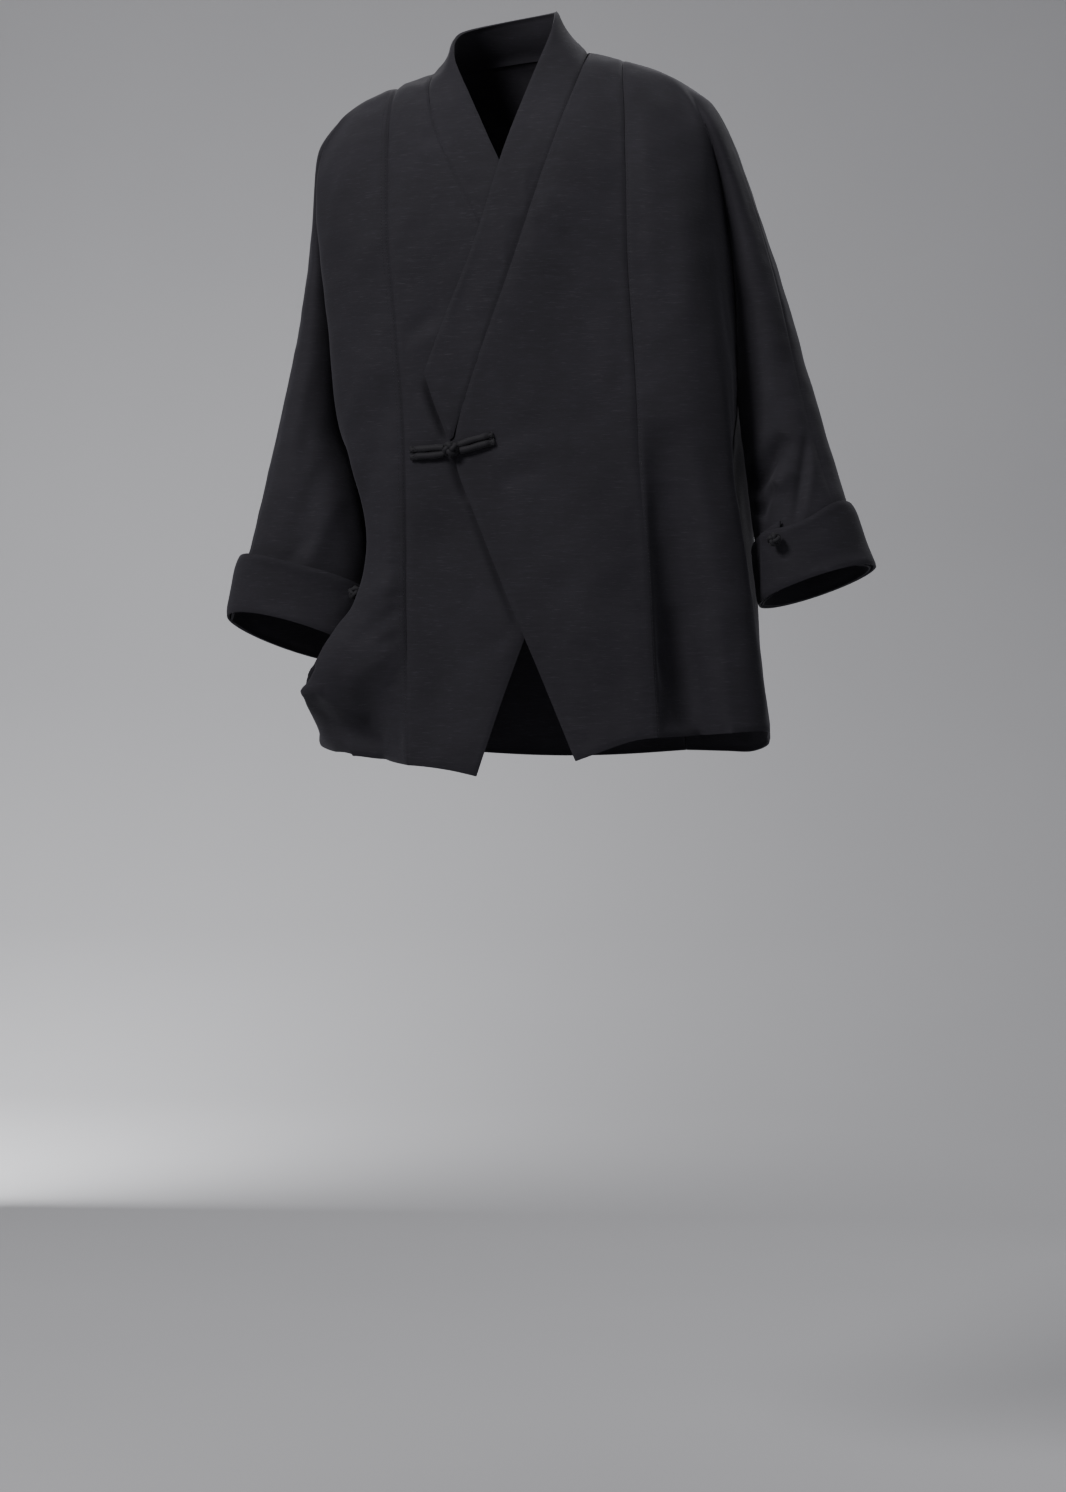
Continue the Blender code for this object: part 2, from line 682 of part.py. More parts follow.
def cuff_point(side, angle, up, away):
    """A point round the sleeve, moved away from it along the ring's own plane."""
    ring = cuff_ring(side, up)
    point = ring_point(ring, angle)
    turn = np.radians(angle)
    wide = np.array([ring[0] - ring[2], 0, ring[1] - ring[3]])
    half = np.linalg.norm(wide) / 2
    out = np.cos(turn) * wide / (2 * half) / half + np.array([0, np.sin(turn) / (ring[5] / 2), 0])
    return point + away * out / np.linalg.norm(out)


def cuff_clear(spec, up):
    """How far the turn-up stands off the sleeve, more towards its top edge."""
    return CUFF_CLEAR + spec["flare"] * (up / spec["height"]) ** 2


def cuff_end(spec, up):
    """Where the lapped end sits round the arm at this height."""
    return spec["end_angle"] + spec["end_slant"] * up / spec["height"]


def cuff_height(spec, angle):
    """How high the turn-up stands here; its top edge sags at the front."""
    return spec["height"] - spec["sag"] * soft_step(1 - abs(angle - CUFF_SAG_ANGLE) / CUFF_SAG_REACH)


def cuff_wall(side, material):
    """A turn-up whose end laps over its start."""
    spec = CUFF[side]
    outer, inner = [], []
    for r in range(CUFF_ROWS + 1):
        for c in range(CUFF_COLUMNS + 1):
            swept = CUFF_TURN * c / CUFF_COLUMNS
            up = cuff_height(spec, spec["end_angle"] + spec["end_slant"] + swept) * r / CUFF_ROWS
            lapping = 1 - soft_step((swept - CUFF_LAP_ANGLE - CUFF_LAP_EASE) / CUFF_LAP_SETTLES)
            clear = cuff_clear(spec, up) + lapping * (BAND_CLOTH + CUFF_LAP_CLEAR)
            angle = cuff_end(spec, up) + swept
            inner.append(cuff_point(side, angle, up, clear))
            outer.append(cuff_point(side, angle, up, clear + BAND_CLOTH))
    columns = CUFF_COLUMNS + 1
    count = columns * (CUFF_ROWS + 1)
    faces = []
    for r in range(CUFF_ROWS):
        for c in range(CUFF_COLUMNS):
            a = r * columns + c
            faces.append([a, a + 1, a + columns + 1, a + columns])
            faces.append([a + count, a + 1 + count, a + columns + 1 + count, a + columns + count])
        for a in (r * columns, (r + 1) * columns - 1):
            faces.append([a, a + columns, a + columns + count, a + count])
    for c in range(CUFF_COLUMNS):
        for a in (c, CUFF_ROWS * columns + c):
            faces.append([a, a + 1, a + 1 + count, a + count])
    return turned_out(mesh_object(f"cuff_{side}", outer + inner, faces, material))


def turned_out(obj):
    """Faces of a closed shape pointing outwards."""
    shape = bmesh.new()
    shape.from_mesh(obj.data)
    bmesh.ops.recalc_face_normals(shape, faces=shape.faces)
    shape.to_mesh(obj.data)
    shape.free()
    return obj


def knot_ball(name, centre, radius, squash, material):
    """A knot ball, a little flattened where it lies on the cloth."""
    segments, rings = KNOT_SEGMENTS, KNOT_RINGS
    points, faces = [(0, 0, radius)], []
    for i in range(1, rings):
        for j in range(segments):
            polar, turn = np.pi * i / rings, 2 * np.pi * j / segments
            points.append((radius * np.sin(polar) * np.cos(turn), radius * np.sin(polar) * np.sin(turn),
                           radius * np.cos(polar)))
    points.append((0, 0, -radius))
    for j in range(segments):
        k = (j + 1) % segments
        faces.append([0, 1 + j, 1 + k])
        for i in range(rings - 2):
            a = 1 + i * segments
            faces.append([a + j, a + segments + j, a + segments + k, a + k])
        base = 1 + (rings - 2) * segments
        faces.append([len(points) - 1, base + k, base + j])
    points = np.array(points) * np.array(squash) + np.array(centre)
    return turned_out(mesh_object(name, points, faces, material))


def frog_bar(name, start, end, layer, material):
    """Two cords side by side on the cloth, pressed flat where their ends are stitched down."""
    start, end = np.array(start, float), np.array(end, float)
    direction = (end - start) / np.linalg.norm(end - start)
    upright = np.array([-direction[1], direction[0]])
    arc = np.radians(np.linspace(CORD_OPEN_ANGLE / 2 - 90, 270 - CORD_OPEN_ANGLE / 2, CORD_CORNERS))
    outline = []
    for centre, turned in ((CORD_RADIUS, 0), (-CORD_RADIUS, np.pi)):
        for angle in arc + turned:
            outline.append((centre + CORD_RADIUS * np.sin(angle), np.cos(angle)))
    points = []
    for i in range(BAR_STATIONS):
        share = i / (BAR_STATIONS - 1)
        pressed = CORD_PRESSED + (1 - CORD_PRESSED) * soft_step(share / CORD_PRESSED_SHARE)
        middle = start + share * (end - start)
        face = lap_y(middle[0], middle[1], layer) - REST_GAP - CORD_RADIUS * pressed
        for up, out in outline:
            x, z = middle + upright * up
            points.append((x, face - out * CORD_RADIUS * pressed, z))
    size = len(outline)
    faces = [[i * size + j, (i + 1) * size + j, (i + 1) * size + (j + 1) % size, i * size + (j + 1) % size]
             for i in range(BAR_STATIONS - 1) for j in range(size)]
    faces += [list(range(size)), [(BAR_STATIONS - 1) * size + j for j in range(size)][::-1]]
    return turned_out(mesh_object(name, points, faces, material))


def black_cloth(name, colour, roughness):
    material = bpy.data.materials.new(name)
    material.use_nodes = True
    shader = material.node_tree.nodes["Principled BSDF"]
    shader.inputs["Base Color"].default_value = (*colour, 1)
    shader.inputs["Roughness"].default_value = roughness
    shader.inputs["Metallic"].default_value = 0
    material.diffuse_color = (*colour, 1)
    return material


def build_cloth():
    """Every cut panel and the collar band."""
    grids = {"back_center": [back_panel()], "front_over": [front_panel("over")],
             "front_under": [front_panel("under")], "collar_band": [band_grid()]}
    for side in ("left", "right"):
        grids[f"side_front_{side}"] = side_grids(side, -1)
        grids[f"side_back_{side}"] = side_grids(side, 1)
    faced = {}
    for name, parts in grids.items():
        outward = (0, 1, 0) if "back" in name else (0, -1, 0)
        faced[name] = facing_out(quads_of(parts), outward)
    normals = shared_normals(faced.values())
    for name, quads in faced.items():
        thickness = BAND_CLOTH if name == "collar_band" else CLOTH
        material = black_cloth(f"{name}_cloth", (0.013, 0.013, 0.016), 0.85)
        cloth_object(name, quads, normals, thickness, material)


def build_cuffs():
    for side in ("left", "right"):
        cuff_wall(side, black_cloth(f"cuff_{side}_cloth", (0.014, 0.014, 0.017), 0.85))
        spec = CUFF[side]
        swept = CUFF_TURN * CUFF_KNOT_COLUMN / CUFF_COLUMNS
        up = cuff_height(spec, spec["end_angle"] + spec["end_slant"] + swept) - CUFF_KNOT_DROP
        clear = cuff_clear(spec, up) + 2 * BAND_CLOTH + CUFF_LAP_CLEAR
        angle = cuff_end(spec, up) + swept
        centre = cuff_point(side, angle, up, clear + CUFF_KNOT_RADIUS + REST_GAP)
        knot_ball(f"cuff_knot_{side}", centre, CUFF_KNOT_RADIUS, (1, 1, 1),
                  black_cloth(f"cuff_knot_{side}_cord", (0.016, 0.016, 0.019), 0.8))


def build_frog():
    cord = black_cloth("frog_cord", (0.016, 0.016, 0.019), 0.8)
    x, z = FROG_KNOT
    depth = KNOT_DEPTH * FROG_KNOT_RADIUS
    centre = (x, lap_y(x + KNOT_ON_EDGE, z, "over") - depth - REST_GAP, z)
    knot_ball("frog_knot", centre, FROG_KNOT_RADIUS, (1, KNOT_DEPTH, 1), cord)
    bars = (("frog_loop_bar", FROG_LEFT_END, "under"), ("frog_tail_bar", FROG_RIGHT_END, "over"))
    for name, end, layer in bars:
        far, knot = np.array(end, float), np.array(FROG_KNOT, float)
        reach = np.linalg.norm(knot - far)
        near = far + (knot - far) * (reach - FROG_KNOT_RADIUS - REST_GAP) / reach
        frog_bar(name, far, near, layer, cord)


for existing in list(bpy.data.objects):
    bpy.data.objects.remove(existing, do_unlink=True)
build_cloth()
build_cuffs()
build_frog()
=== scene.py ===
# %% [markdown]
# # A black cross-collar jacket
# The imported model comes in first. It holds one closed wall for each cut piece of the jacket, in metres.
# Everything below dresses those walls, so their places and sizes are never changed here.

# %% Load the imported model
import math

import bmesh
import bpy
import numpy as np
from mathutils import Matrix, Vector
from mathutils.bvhtree import BVHTree
from mathutils.kdtree import KDTree


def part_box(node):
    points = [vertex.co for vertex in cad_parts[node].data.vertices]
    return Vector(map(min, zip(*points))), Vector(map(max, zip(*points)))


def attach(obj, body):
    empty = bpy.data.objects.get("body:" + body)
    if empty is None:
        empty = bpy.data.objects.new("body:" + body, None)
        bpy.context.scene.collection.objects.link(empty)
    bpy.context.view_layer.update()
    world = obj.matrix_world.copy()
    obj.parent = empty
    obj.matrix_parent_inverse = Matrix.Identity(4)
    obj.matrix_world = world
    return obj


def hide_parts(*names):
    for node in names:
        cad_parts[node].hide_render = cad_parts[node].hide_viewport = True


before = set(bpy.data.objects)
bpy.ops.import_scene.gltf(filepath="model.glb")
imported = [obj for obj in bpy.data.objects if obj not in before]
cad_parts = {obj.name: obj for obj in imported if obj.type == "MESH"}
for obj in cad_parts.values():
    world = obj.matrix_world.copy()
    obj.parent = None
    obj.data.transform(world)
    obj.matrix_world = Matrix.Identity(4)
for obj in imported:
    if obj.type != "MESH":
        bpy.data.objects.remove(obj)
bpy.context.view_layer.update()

MM = 0.001
print("nodes:", sorted(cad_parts))

# %% [markdown]
# ## Camera
# The photograph is taken with a long lens, held level at about the height of the hem and a little to the
# jacket's left side. Blender's camera takes the lens in millimetres on a sensor 36 mm wide, as a real one
# does. The same place and lens keep the jacket's proportions. The frame is upright, 1066 by 1492.

# %% Camera
CAMERA_TURN = math.radians(12)
CAMERA_AWAY = 3.6
CAMERA_HEIGHT = -0.698
CAMERA_ASIDE = 0.0195
LENS = 85.15


def placed(name, data):
    """A new object in the scene that holds this mesh, lamp or camera."""
    obj = bpy.data.objects.new(name, data)
    bpy.context.scene.collection.objects.link(obj)
    return obj


camera_data = bpy.data.cameras.new("camera")
camera_data.lens = LENS
camera_data.sensor_width = 36
camera_data.clip_end = 60
camera = placed("camera", camera_data)
camera.location = (
    CAMERA_AWAY * math.sin(CAMERA_TURN) + CAMERA_ASIDE * math.cos(CAMERA_TURN),
    -CAMERA_AWAY * math.cos(CAMERA_TURN) + CAMERA_ASIDE * math.sin(CAMERA_TURN),
    CAMERA_HEIGHT,
)
camera.rotation_euler = (math.pi / 2, 0, CAMERA_TURN)
bpy.context.scene.camera = camera
print("camera at", [round(v, 3) for v in camera.location])

# %% [markdown]
# ## From a wall to a fine sheet
# Each panel of the real jacket is one cut piece of crepe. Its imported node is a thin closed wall: an outer
# face, an inner face and a narrow rim. The panels could be modelled again, but a sheet taken from the wall
# keeps every place and size. The rim goes first. Its faces have a side as short as the cloth is thick. The
# band and the cuffs have other faces as narrow as that, so there a rim face also has to turn a sharp
# corner on two opposite edges.

# %% The rim of a wall
RIM_SIDE = 1.9 * MM
DOUBLED_RIM_SIDE = 3.2 * MM
RIM_TURN = math.radians(50)
DOUBLED = ("collar_band", "cuff_left", "cuff_right")


def is_rim(face, doubled):
    """Whether a face is part of the narrow rim of a wall."""
    short = min(edge.calc_length() for edge in face.edges)
    if not doubled:
        return short < RIM_SIDE
    sharp = [loop.edge.calc_face_angle(0) > RIM_TURN for loop in face.loops]
    if len(sharp) == 3:
        turns = any(sharp)
    else:
        turns = (sharp[0] and sharp[2]) or (sharp[1] and sharp[3])
    return short < DOUBLED_RIM_SIDE and turns


print("pieces of doubled cloth:", DOUBLED)

# %% [markdown]
# With the rim gone, a wall falls into two skins. The outer one looks to the front or to the back. A cuff
# is a closed ring, so there the outer skin is the larger one. The sheet's corners are marked as creased
# points, so that subdividing doesn't round them off.

# %% The outer skin of a wall
WELD = 0.02 * MM
CORNER_TURN = math.radians(38)


def opened(mesh):
    """The mesh as a bmesh, to be freed after use."""
    shape = bmesh.new()
    shape.from_mesh(mesh)
    return shape


def skins_of(shape):
    """The faces in groups that hang together."""
    unseen = set(shape.faces)
    skins = []
    while unseen:
        front = [unseen.pop()]
        skin = []
        while front:
            face = front.pop()
            skin.append(face)
            near = {other for edge in face.edges for other in edge.link_faces} & unseen
            unseen -= near
            front += near
        skins.append(skin)
    return skins


def facing_area(face, facing):
    """A face's area as far as it looks this way, or all of it where no way is given."""
    if facing is None:
        return face.calc_area()
    return (face.normal * face.calc_area()).dot(Vector(facing))


def mark_corners(shape):
    """Creases the border points where the border turns."""
    crease = shape.verts.layers.float.new("crease_vert")
    for vert in shape.verts:
        sides = [edge for edge in vert.link_edges if edge.is_boundary]
        if len(sides) == 2:
            ways = [edge.other_vert(vert).co - vert.co for edge in sides]
            if math.pi - ways[0].angle(ways[1]) > CORNER_TURN:
                vert[crease] = 1.0


def outer_skin(name, facing):
    """The outer face of a node's wall as a mesh of mostly four-sided faces."""
    shape = opened(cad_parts[name].data)
    bmesh.ops.remove_doubles(shape, verts=shape.verts, dist=WELD)
    bmesh.ops.join_triangles(
        shape, faces=shape.faces, angle_face_threshold=math.pi, angle_shape_threshold=math.pi
    )
    rim = [face for face in shape.faces if is_rim(face, name in DOUBLED)]
    bmesh.ops.delete(shape, geom=rim, context="FACES_ONLY")
    outer = set(max(skins_of(shape), key=lambda skin: sum(facing_area(face, facing) for face in skin)))
    bmesh.ops.delete(shape, geom=[f for f in shape.faces if f not in outer], context="FACES")
    bmesh.ops.delete(shape, geom=[e for e in shape.edges if not e.link_faces], context="EDGES")
    bmesh.ops.delete(shape, geom=[v for v in shape.verts if not v.link_faces], context="VERTS")
    mark_corners(shape)
    mesh = bpy.data.meshes.new(name + "_cloth")
    shape.to_mesh(mesh)
    shape.free()
    return mesh


print("corners turn more than", round(math.degrees(CORNER_TURN)), "degrees")

# %% [markdown]
# Three rounds of subdividing give faces a few millimetres wide, fine enough for small folds, and round the
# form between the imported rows. The thickness comes back at the end.

# %% Fine sheets
LEVELS = 3
FORWARD, BACKWARD = (0, -1, 0), (0, 1, 0)
FACINGS = {
    "back_center": BACKWARD,
    "side_back_left": BACKWARD,
    "side_back_right": BACKWARD,
    "side_front_left": FORWARD,
    "side_front_right": FORWARD,
    "front_over": FORWARD,
    "front_under": FORWARD,
    "collar_band": FORWARD,
    "cuff_left": None,
    "cuff_right": None,
}


def applied(obj, kind, **values):
    """Adds one modifier with these values and applies it."""
    bpy.ops.object.select_all(action="DESELECT")
    obj.select_set(True)
    bpy.context.view_layer.objects.active = obj
    modifier = obj.modifiers.new(kind.lower(), kind)
    for key, value in values.items():
        setattr(modifier, key, value)
    bpy.ops.object.modifier_apply(modifier=modifier.name)


def fine_sheet(name, facing):
    """The outer skin of a node as a finely divided object."""
    mesh = outer_skin(name, facing)
    obj = placed(mesh.name, mesh)
    applied(obj, "SUBSURF", levels=LEVELS, boundary_smooth="PRESERVE_CORNERS")
    return obj


cloth = {name: fine_sheet(name, facing) for name, facing in FACINGS.items()}
for name, obj in cloth.items():
    print(name, len(obj.data.polygons), "faces")

# %% [markdown]
# ## Folds
# Worn cloth folds where it is pulled or pushed together: at the frog, beside the seams, over the cuffs and
# above the lifted hem. A cloth simulation would fold it somewhere else on each change, so the folds are set
# from the photograph. Each row of a table is one soft ridge or trough: the side or the one piece
# that it is on, where it starts and ends seen from the front (across, height), how wide it is and how far
# it stands out. All are in millimetres.

# %% Tables of folds
# side or piece, from across, from height, to across, to height, width, depth
CREASES = (
    # Under front: drag from the frog, small level marks beside the neckline, soft hollow over the frog
    ("front", -84, -292, -46, -268, 9, -1.8),
    ("front", -78, -306, -50, -288, 8, 1.2),
    ("front", -74, -90, -58, -96, 5, -0.9),
    ("front", -78, -104, -62, -112, 5, 0.8),
    ("front", -60, -520, -20, -470, 26, -3.0),
    ("front", -52, -690, -30, -560, 20, -2.6),
    ("front", -20, -560, 22, -588, 16, 1.8),
    # The dark gap inside the band's end, and the one below the knot
    ("front_under", -62, -338, -37, -398, 5, -9.0),
    ("front_under", -72, -352, -48, -400, 9, 2.0),
    ("collar_band", -52, -352, -38, -398, 5, 2.2),
    ("front_under", -33, -412, -16, -456, 6, -7.5),
    # The shadow beside the over front's edge, below the knot
    ("front_under", -20, -444, 42, -600, 5, -4.5),
    # The band dents where it bends in towards the frog
    ("collar_band", -84, -340, -58, -326, 7, -1.6),
    # Over front: short diagonals beside the band, long soft shade from the shoulder to the frog
    ("front", 52, -160, 78, -196, 6, 1.3),
    ("front", 46, -178, 74, -214, 6, -1.3),
    ("front", 40, -204, 62, -234, 6, 0.9),
    ("front", 4, -404, 70, -372, 12, -1.5),
    ("front", 0, -420, 86, -396, 13, 1.4),
    ("front", 8, -440, 60, -430, 9, -1.1),
    ("front", 110, -130, 62, -330, 30, -2.2),
    ("front", 96, -420, 120, -640, 28, 2.2),
    ("front", 86, -598, 112, -610, 8, -1.1),
    ("front", 78, -676, 104, -688, 8, 1.1),
    ("front", 126, -520, 140, -700, 16, -1.8),
    # Left side front: the deep fold beside the seam and the long swell before the sleeve
    ("side_front_left", 172, -380, 184, -704, 22, -8.5),
    ("side_front_left", 176, -600, 188, -650, 7, -3.0),
    ("front", 184, -560, 196, -694, 10, -5.0),
    ("front", 206, -560, 224, -684, 14, 3.0),
    ("front", 160, -60, 178, -300, 22, -1.6),
    ("front", 186, -120, 206, -340, 12, 2.2),
    ("front", 196, -330, 226, -560, 16, 2.0),
    ("front", 176, -300, 190, -520, 18, -1.8),
    ("front", 236, -560, 252, -684, 10, -1.8),
    # Left sleeve: two short valleys over the cuff, an upright crease, soft folds from the shoulder
    ("side_front_left", 290, -392, 250, -450, 10, -11.0),
    ("side_front_left", 296, -424, 262, -468, 9, 5.0),
    ("side_front_left", 280, -440, 258, -472, 8, -9.0),
    ("side_front_left", 312, -376, 300, -484, 5, -4.0),
    ("side_front_left", 320, -376, 310, -474, 6, 2.4),
    ("front", 262, -200, 280, -360, 12, 1.6),
    ("front", 246, -240, 262, -390, 8, -2.0),
    ("front", 250, -130, 276, -240, 9, -1.4),
    # Right side front: drag lines from the lifted side, and the bunched curl above the hem
    ("front", -96, -330, -132, -470, 14, -2.4),
    ("front", -112, -300, -150, -380, 12, 1.6),
    ("front", -88, -530, -132, -560, 9, 1.8),
    ("front", -86, -560, -140, -600, 9, -2.4),
    ("front", -88, -600, -150, -640, 10, 2.2),
    ("side_front_right", -182, -612, -198, -636, 6, -9.0),
    ("side_front_right", -206, -644, -168, -640, 6, 5.0),
    ("side_front_right", -176, -642, -126, -672, 8, 3.5),
    ("side_front_right", -204, -664, -112, -700, 14, -8.0),
    # Small level puckers beside the right panel seam
    ("side_front_right", -84, -516, -100, -519, 4, -0.9),
    ("side_front_right", -84, -541, -106, -547, 5, 1.1),
    ("side_front_right", -83, -562, -97, -564, 4, -1.0),
    ("side_front_right", -84, -590, -109, -597, 5, -1.3),
    ("side_front_right", -83, -617, -99, -620, 4, 1.0),
    ("side_front_right", -84, -634, -103, -641, 4, -1.1),
    ("side_front_right", -84, -668, -106, -672, 5, 0.9),
    ("side_front_right", -83, -689, -97, -692, 4, -0.6),
    # Right shoulder: two soft falls
    ("front", -120, -100, -150, -230, 16, -1.8),
    ("front", -150, -80, -174, -200, 10, 1.6),
    # Right sleeve
    ("front", -190, -300, -204, -440, 9, -2.0),
    ("front", -214, -330, -232, -500, 14, 1.6),
    ("front", -176, -400, -210, -500, 11, -2.2),
    ("front", -164, -440, -196, -530, 10, 2.4),
    ("front", -182, -480, -222, -520, 8, -2.0),
    # Back: folds fall from the shoulders, and cross ones gather above the hem at the right side
    ("back", -60, -80, -40, -340, 26, -2.4),
    ("back", 84, -90, 70, -380, 30, 2.6),
    ("back", 10, -200, 20, -640, 34, -2.2),
    ("back", -20, -420, -44, -690, 22, 2.4),
    ("back", 110, -400, 122, -690, 20, -2.6),
    ("back", 64, -480, 60, -700, 16, 1.8),
    ("back", 150, -110, 196, -330, 16, -3.2),
    ("back", 176, -150, 214, -420, 14, 2.6),
    ("back", 196, -420, 208, -690, 18, -3.4),
    ("back", 170, -460, 176, -690, 14, 2.4),
    ("back", -130, -110, -168, -330, 16, -3.0),
    ("back", -150, -160, -176, -420, 13, 2.4),
    ("back", -120, -420, -160, -560, 14, -2.8),
    ("back", -110, -520, -160, -640, 12, 2.6),
    ("back", -100, -600, -176, -668, 10, -3.0),
    ("back", -60, -560, -120, -640, 14, -1.8),
    ("back", 250, -200, 276, -400, 12, 2.4),
    ("back", 266, -330, 300, -480, 10, -2.8),
    ("back", 280, -420, 262, -490, 10, -3.4),
    ("back", -196, -230, -216, -430, 12, 2.2),
    ("back", -180, -380, -236, -520, 10, -2.8),
)

# Folds that reach the free edges: the over front's edge and the band's stand clear of the under front, and
# the hem turns under at the right side
EDGE_FOLDS = (
    ("front_over", -34, -404, 52, -616, 9, 3.2),
    ("collar_band", -80, -330, -40, -200, 6, 1.2),
    ("collar_band", -76, -340, -38, -400, 5, 2.2),
    ("side_front_right", -174, -712, -112, -738, 18, -6.0),
)

print(len(CREASES), "creases and", len(EDGE_FOLDS), "folds at free edges")

# %% [markdown]
# A fold is highest along its line, falls off softly to both sides and runs out at both ends. One that is
# on the front or the back leaves the surfaces that look the other way alone.

# %% Depth of the folds
FACING_GAIN = 1.6
END_POWER = 3


def crease_depth(table, name, places, normals):
    """How far each place on a piece is moved out by the folds of a table, in metres."""
    total = np.zeros(len(places))
    across, height = places[:, 0] / MM, places[:, 2] / MM
    for side, x0, z0, x1, z1, width, depth in table:
        if side not in ("front", "back", name):
            continue
        run = np.array([x1 - x0, z1 - z0], float)
        length = run @ run
        along = np.clip(((across - x0) * run[0] + (height - z0) * run[1]) / length, 0, 1)
        off = np.hypot(across - x0 - along * run[0], height - z0 - along * run[1])
        ends = 1 - np.abs(2 * along - 1) ** END_POWER
        towards = normals[:, 1] if side == "back" else -normals[:, 1]
        facing = np.clip(towards * FACING_GAIN, 0, 1)
        total += depth * MM * np.exp(-((off / width) ** 2)) * ends * facing
    return total


print("widest crease:", max(row[5] for row in CREASES), "mm")

# %% [markdown]
# ## Ripples
# No real panel is quite flat between its folds. A few waves that cross at random give it a slow swell,
# fine wrinkles and, near the seams, short puckers from the pull of the thread. The dice start from a fixed
# seed, so each run gives the same cloth.

# %% Ripples
WAVES = 16
# height, wavelengths across, through and down, all in millimetres, and the seed
SWELL = (1.0, (110, 110, 300), 3)
WRINKLES = (0.28, (34, 34, 60), 4)
PUCKERS = (0.42, (60, 60, 17), 5)


def ripples(places, height, lengths, seed):
    """A smooth random height at each place, in metres."""
    dice = np.random.default_rng(seed)
    total = np.zeros(len(places))
    for _ in range(WAVES):
        way = dice.normal(size=3)
        way /= np.linalg.norm(way)
        rate = way * 2 * math.pi / np.array(lengths) * dice.uniform(0.7, 1.4)
        total += np.sin(places / MM @ rate + dice.uniform(0, 2 * math.pi))
    return height * MM * (total / math.sqrt(WAVES / 2))


print("ripples are sums of", WAVES, "waves")

# %% [markdown]
# ## Seams and edges
# Where two pieces are sewn, the cloth rolls a little inwards, and folded edges roll in the same way. A
# bevel would round every edge alike. Here the roll follows each point's distance to the nearest edge of
# its own sheet. Border points also reach out a little, so that sewn pieces almost touch.

# %% Distance and reach at the border
SEAM_REACH = 0.2 * MM


def border_distance(mesh, places):
    """How far each point is from the nearest border point."""
    shape = opened(mesh)
    border = [v.index for v in shape.verts if v.is_boundary]
    shape.free()
    tree = KDTree(len(border))
    for i in border:
        tree.insert(places[i], i)
    tree.balance()
    return np.array([tree.find(p)[2] for p in places])


def border_reach(mesh, places):
    """A short step outwards in the cloth's own plane for each border point."""
    shape = opened(mesh)
    steps = np.zeros_like(places)
    for vert in shape.verts:
        inner = [edge.other_vert(vert) for edge in vert.link_edges if not edge.is_boundary]
        if vert.is_boundary and len(inner) == 1:
            steps[vert.index] = (vert.co - inner[0].co).normalized() * SEAM_REACH
    shape.free()
    return steps


print("sewn borders reach out", SEAM_REACH, "m")

# %% [markdown]
# ## The grain
# The weft threads run level across the front and still follow the cloth over the shoulder. A pattern on
# object coordinates would stretch there, because the cloth turns flat while its height hardly changes. So
# each point stores a vector named "grain": its place across and through, and how far down the cloth it is.

# %% Down the cloth
# The shoulder line (across, height), and how much cloth lies above each drop below it, in millimetres
SHOULDER_LINE = ((-203, -89), (-142, -29), (-86, -7), (0, 7), (78, 8), (149, -14), (219, -75))
DROP = (0, 4, 14, 38, 80, 150, 220)
SURFACE_LENGTH = (0, 17, 40, 75, 125, 200, 272)


def down_the_cloth(places):
    """How far down the cloth a place is: its height, and what the curve over the shoulder adds."""
    line = np.array(SHOULDER_LINE, float) * MM
    drop = np.interp(places[:, 0], line[:, 0], line[:, 1]) - places[:, 2]
    added = np.array(SURFACE_LENGTH) - np.array(DROP)
    return np.interp(drop, np.array(DROP) * MM, added * MM) - places[:, 2]


def lay_grain(mesh, places):
    """Stores the grain vector of each point."""
    grain = np.stack([places[:, 0], places[:, 1], -down_the_cloth(places)], axis=1)
    attribute = mesh.attributes.new("grain", "FLOAT_VECTOR", "POINT")
    attribute.data.foreach_set("vector", grain.astype(np.float32).ravel())


print("the shoulder adds up to", SURFACE_LENGTH[-1] - DROP[-1], "mm of cloth")

# %% [markdown]
# Each sheet now gets its folds, ripples and rolled edges in one move along its own normals. Creases and
# ripples fade out near the border, where the seam holds the cloth. Only the folds at free edges reach it.

# %% Shaping the sheets
EDGE_ROLL = 1.25
EDGE_REACH = 2.1
FREE_REACH = 9
PUCKER_REACH = 13.0


def read_vectors(data, attribute):
    """One row of three numbers for each point of a mesh."""
    flat = np.empty(len(data) * 3, np.float32)
    data.foreach_get(attribute, flat)
    return flat.reshape(-1, 3).astype(float)


def shape_sheet(name, mesh):
    """Moves the points of one sheet and gives how far each went, in metres."""
    places = read_vectors(mesh.vertices, "co")
    normals = read_vectors(mesh.vertex_normals, "vector")
    distance = border_distance(mesh, places) / MM
    free = 1 - np.exp(-((distance / FREE_REACH) ** 2))
    near_seam = np.exp(-((distance / PUCKER_REACH) ** 2)) * free
    move = crease_depth(CREASES, name, places, normals) * free
    move += crease_depth(EDGE_FOLDS, name, places, normals)
    move += (ripples(places, *SWELL) + ripples(places, *WRINKLES)) * free
    move += ripples(places, *PUCKERS) * near_seam
    move -= EDGE_ROLL * MM * np.exp(-((distance / EDGE_REACH) ** 2))
    moved = places + normals * move[:, None] + border_reach(mesh, places)
    mesh.vertices.foreach_set("co", moved.astype(np.float32).ravel())
    mesh.update()
    lay_grain(mesh, places)
    return move


for name, obj in cloth.items():
    move = shape_sheet(name, obj.data)
    print(name, "moved from", round(move.min() / MM, 2), "to", round(move.max() / MM, 2), "mm")

